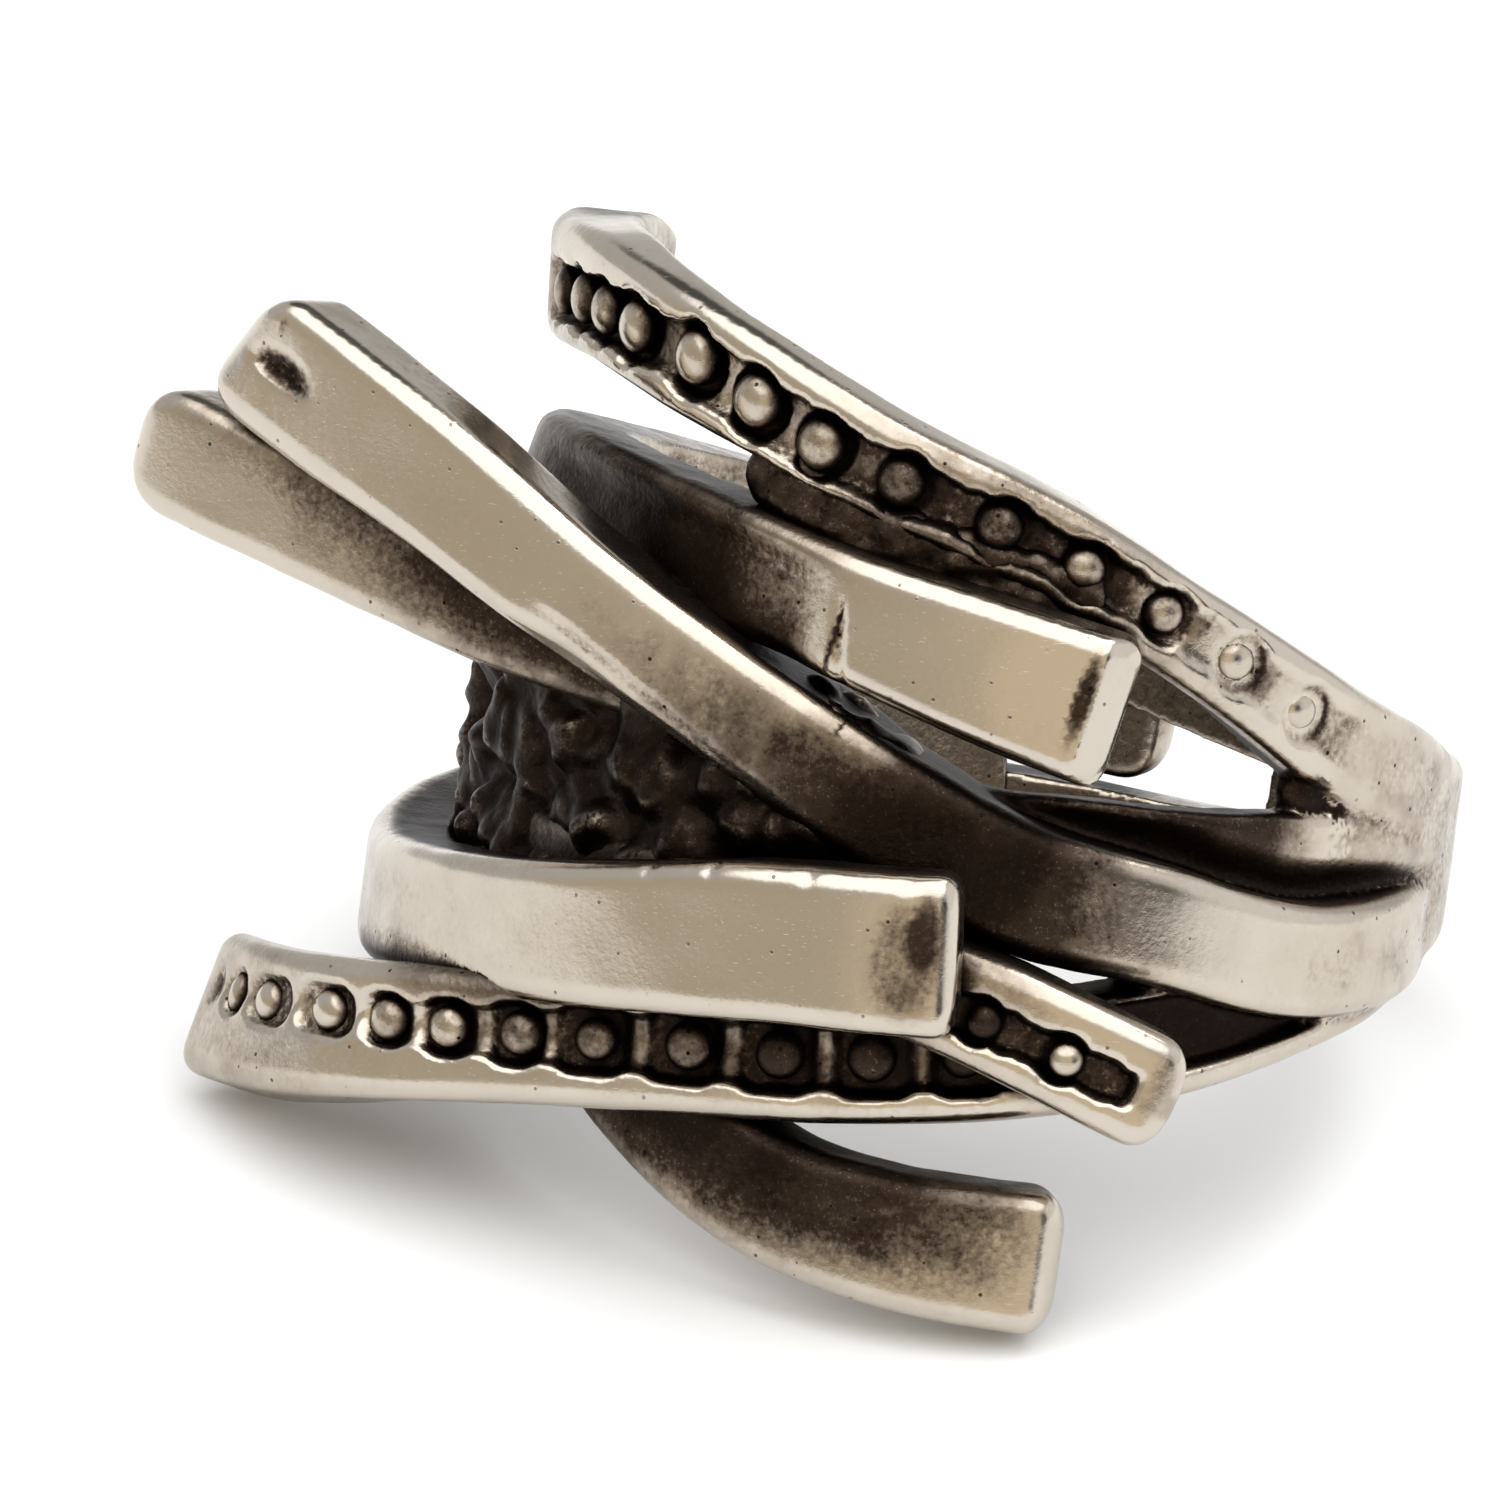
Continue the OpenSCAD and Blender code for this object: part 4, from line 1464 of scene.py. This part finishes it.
def depth_tree(rays, seed, material):
    """Stores on each vertex its recess, the share of rays that meet the ring within Reach, and its edge."""
    tree = new_tree("depth", Ring="NodeSocketObject", Reach="NodeSocketFloat", Rubbed="NodeSocketFloat")
    inside = add(tree, "NodeGroupInput").outputs
    ring = add(tree, "GeometryNodeObjectInfo", inputs={"Object": inside["Ring"]}).outputs["Geometry"]
    normal = add(tree, "GeometryNodeInputNormal")
    position = add(tree, "GeometryNodeInputPosition")
    off_skin = add(tree, VECTOR, normal, operation="SCALE", inputs={"Scale": RAY_CLEAR})
    source = add(tree, VECTOR, position, off_skin, operation="ADD")
    total = 0.0
    shuffle = np.random.default_rng(seed)
    for _ in range(rays):
        lean_off = shuffle.normal(size=3)
        lean_off *= RAY_LEAN / np.linalg.norm(lean_off)
        way = add(tree, VECTOR, normal, lean_off, operation="ADD")
        ray = add(tree, "GeometryNodeRaycast", inputs={
            "Target Geometry": ring, "Source Position": source, "Ray Direction": way,
            "Ray Length": inside["Reach"]}).outputs
        away = add(tree, MATH, ray["Hit Distance"], inside["Reach"], operation="DIVIDE")
        near = add(tree, MATH, 1.0, away, operation="SUBTRACT")
        hit = add(tree, MATH, ray["Is Hit"], near, operation="MULTIPLY")
        total = add(tree, MATH, total, hit, operation="ADD")
    recess = add(tree, MATH, total, float(rays), operation="DIVIDE")
    blurred = add(tree, "GeometryNodeBlurAttribute", data_type="FLOAT_VECTOR", inputs={
        "Value": position, "Iterations": EDGE_BLUR})
    stands_out = add(tree, VECTOR, position, blurred, operation="SUBTRACT")
    edge = add(tree, VECTOR, stands_out, normal, operation="DOT_PRODUCT").outputs["Value"]
    edge = add(tree, MATH, edge, EDGE_FULL, operation="DIVIDE")
    edge = add(tree, "ShaderNodeClamp", edge, -1.0, 1.0)
    edge = add(tree, MATH, edge, inside["Rubbed"], operation="MULTIPLY")
    geometry = inside["Geometry"]
    for name, value in (("recess", recess), ("edge", edge)):
        geometry = add(tree, "GeometryNodeStoreNamedAttribute", data_type="FLOAT", domain="POINT", inputs={
            "Geometry": geometry, "Name": name, "Value": value})
    return end_tree(tree, geometry, material)


print("the depth tree looks", REACH / MM, "mm out")

# %% [markdown]
# ## Weathering
#
# Dip and polish came after the beads were set, so every piece is weighed against the whole ring. A bead was
# rubbed less than a bar's edge, since it sits low in its channel.

# %% Weathering
def joined_copy(pieces):
    """One object with a copy of every piece, for rays to meet."""
    points = []
    faces = []
    start = 0
    for piece in pieces:
        mesh = piece.data
        points.append(positions(mesh))
        mesh.calc_loop_triangles()
        corners = np.empty(len(mesh.loop_triangles) * 3, np.int32)
        mesh.loop_triangles.foreach_get("vertices", corners)
        faces.append(corners.reshape(-1, 3) + start)
        start += len(mesh.vertices)
    whole = bpy.data.meshes.new("whole")
    whole.from_pydata(np.concatenate(points), [], np.concatenate(faces))
    return new_object("whole", whole)


# How far an edge is rubbed pale, where it isn't all of it
RUBBED = {"flank": 0.7}
BEAD_RUBBED = 0.25
pieces = bars + bead_rows
whole = joined_copy(pieces)
depth = depth_tree(rays=32, seed=4, material=metal)
for piece in pieces:
    rubbed = BEAD_RUBBED if piece in bead_rows else RUBBED.get(piece.name, 1.0)
    run_tree(piece, depth, Ring=whole, Reach=REACH, Rubbed=rubbed)
    piece.data.polygons.foreach_set("use_smooth", [True] * len(piece.data.polygons))
bpy.data.objects.remove(whole)
print("triangles in all:", sum(triangle_count(piece.data) for piece in pieces))

# %% [markdown]
# ## Riding on the body
#
# Nothing on a ring moves, so every piece rides on its one body and takes the place of its one solid.

# %% Riding
for piece in pieces:
    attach(piece, "root")
    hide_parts("ring")
print(len(pieces), "pieces ride on the ring's body")

# %% [markdown]
# ## The camera
#
# A long lens far away, as product photographers use on jewellery, keeps the bars' proportions. The scale in
# pixels for each mm at the finger axis fixes the focal length, and the aim puts the ring where it sits in
# the picture.

# %% Camera
PXMM = 44
DISTANCE = 320
LOOK_DOWN = math.radians(27)
CAMERA_ROLL = math.radians(2.5)
FRAME_PX = 1511
SENSOR = 36
# Where the camera points, in mm to the right of the finger axis and above it
AIM = (-5.557, 0.625)

level_up = Vector((0, math.sin(LOOK_DOWN), math.cos(LOOK_DOWN)))
back = Vector((0, -math.cos(LOOK_DOWN), math.sin(LOOK_DOWN)))
right = Vector((1, 0, 0)) * math.cos(CAMERA_ROLL) + level_up * math.sin(CAMERA_ROLL)
up = level_up * math.cos(CAMERA_ROLL) - Vector((1, 0, 0)) * math.sin(CAMERA_ROLL)
lens = bpy.data.cameras.new("camera")
lens.sensor_width = SENSOR
lens.sensor_fit = "HORIZONTAL"
lens.lens = PXMM * DISTANCE * SENSOR / FRAME_PX
lens.clip_start = 0.01
lens.clip_end = 20
camera = new_object("camera", lens)
spot = (right * AIM[0] + up * AIM[1] + back * DISTANCE) * MM
camera.matrix_world = Matrix.Translation(spot) @ Matrix((right, up, back)).transposed().to_4x4()
bpy.context.scene.camera = camera
print("camera", [round(v, 4) for v in spot])

# %% [markdown]
# ## The paper
#
# The ring lies on white paper. It is lit until it burns out to pure white, as in a catalogue picture, and
# only the shadow under the ring stays.

# %% Floor
# Half the sheet's width in metres
FLOOR_REACH = 2.0
PAPER = (0.9, 0.91, 0.92, 1)
corners = ((-1, -1), (1, -1), (1, 1), (-1, 1))
floor_mesh = bpy.data.meshes.new("floor")
floor_mesh.from_pydata([(x * FLOOR_REACH, y * FLOOR_REACH, FLOOR_Z) for x, y in corners], [], [(0, 1, 2, 3)])
floor = new_object("floor", floor_mesh)
paper = bpy.data.materials.new("white_paper")
paper.use_nodes = True
paper.node_tree.nodes["Principled BSDF"].inputs["Base Color"].default_value = PAPER
paper.node_tree.nodes["Principled BSDF"].inputs["Roughness"].default_value = 0.9
floor_mesh.materials.append(paper)
print("floor at", round(FLOOR_Z / MM, 2), "mm")

# %% [markdown]
# ## The light
#
# Polished metal shows what stands round it, so the pale tent holds cards: a warm pale one at the front,
# which the flat faces show, a large soft box overhead, which draws the bright lines along the edges, and
# dark flags at the back and at the right, which draw the dark lines beside them. One lamp behind the ring at
# the right throws the soft shadow toward the viewer's left.

# %% The tent and its cards
# The brightness of the tent's plain cloth
TENT = 0.66
# The columns: name, to the right of the front in degrees, above the floor, radius, softness, brightness,
# colour
CARDS = [
    ["soft box", 0, 76, 44, 10, 2.3, "#ffffff"],
    ["front wall", 0, 0, 34, 20, 0.98, "#fff0d4"],
    ["left wall", -62, 0, 34, 20, 0.66, "#fff2dc"],
    ["right wall", 95, 10, 34, 20, 1.1, "#ffffff"],
    ["right flag", 42, 10, 12, 8, 0.06, "#ffffff"],
    ["back flag", 180, 42, 20, 10, 0.1, "#ffffff"],
]


def toward(azimuth, elevation):
    """The direction that lies this far to the right of the front and this far above the floor."""
    a, e = math.radians(azimuth), math.radians(elevation)
    return (math.sin(a) * math.cos(e), -math.cos(a) * math.cos(e), math.sin(e))


def studio():
    """The tent as the world's colour, with a soft-edged card for each row."""
    world = bpy.data.worlds.new("studio")
    bpy.context.scene.world = world
    world.use_nodes = True
    tree = world.node_tree
    tree.nodes.clear()
    way = add(tree, "ShaderNodeTexCoord").outputs["Generated"]
    colour = (TENT, TENT, TENT, 1)
    for name, azimuth, elevation, radius, softness, bright, tint in CARDS:
        facing = add(tree, VECTOR, way, toward(azimuth, elevation), operation="DOT_PRODUCT")
        outer, inner = (math.cos(math.radians(radius + part * softness)) for part in (0.5, -0.5))
        share = add(tree, RANGE, facing.outputs["Value"], outer, inner, label=name, **EASE)
        card = [c * bright for c in srgb(tint)[:3]] + [1]
        mixed = add(tree, "ShaderNodeMix", data_type="RGBA", inputs={0: share, 6: colour, 7: card})
        colour = mixed.outputs[2]
    light = add(tree, "ShaderNodeBackground", colour)
    add(tree, "ShaderNodeOutputWorld", light)


def lamp_box(name, spot, size, power):
    """A square lamp that looks at the ring."""
    lamp = bpy.data.lights.new(name, "AREA")
    lamp.energy = power
    lamp.size = size
    box = new_object(name, lamp)
    box.location = spot
    box.rotation_euler = (-Vector(spot)).to_track_quat("-Z", "Y").to_euler()


studio()
lamp_box("key", spot=(0.22, 0.2, 0.42), size=0.16, power=0.4)
bpy.context.scene.view_settings.view_transform = "Standard"
print("cards:", [row[0] for row in CARDS])
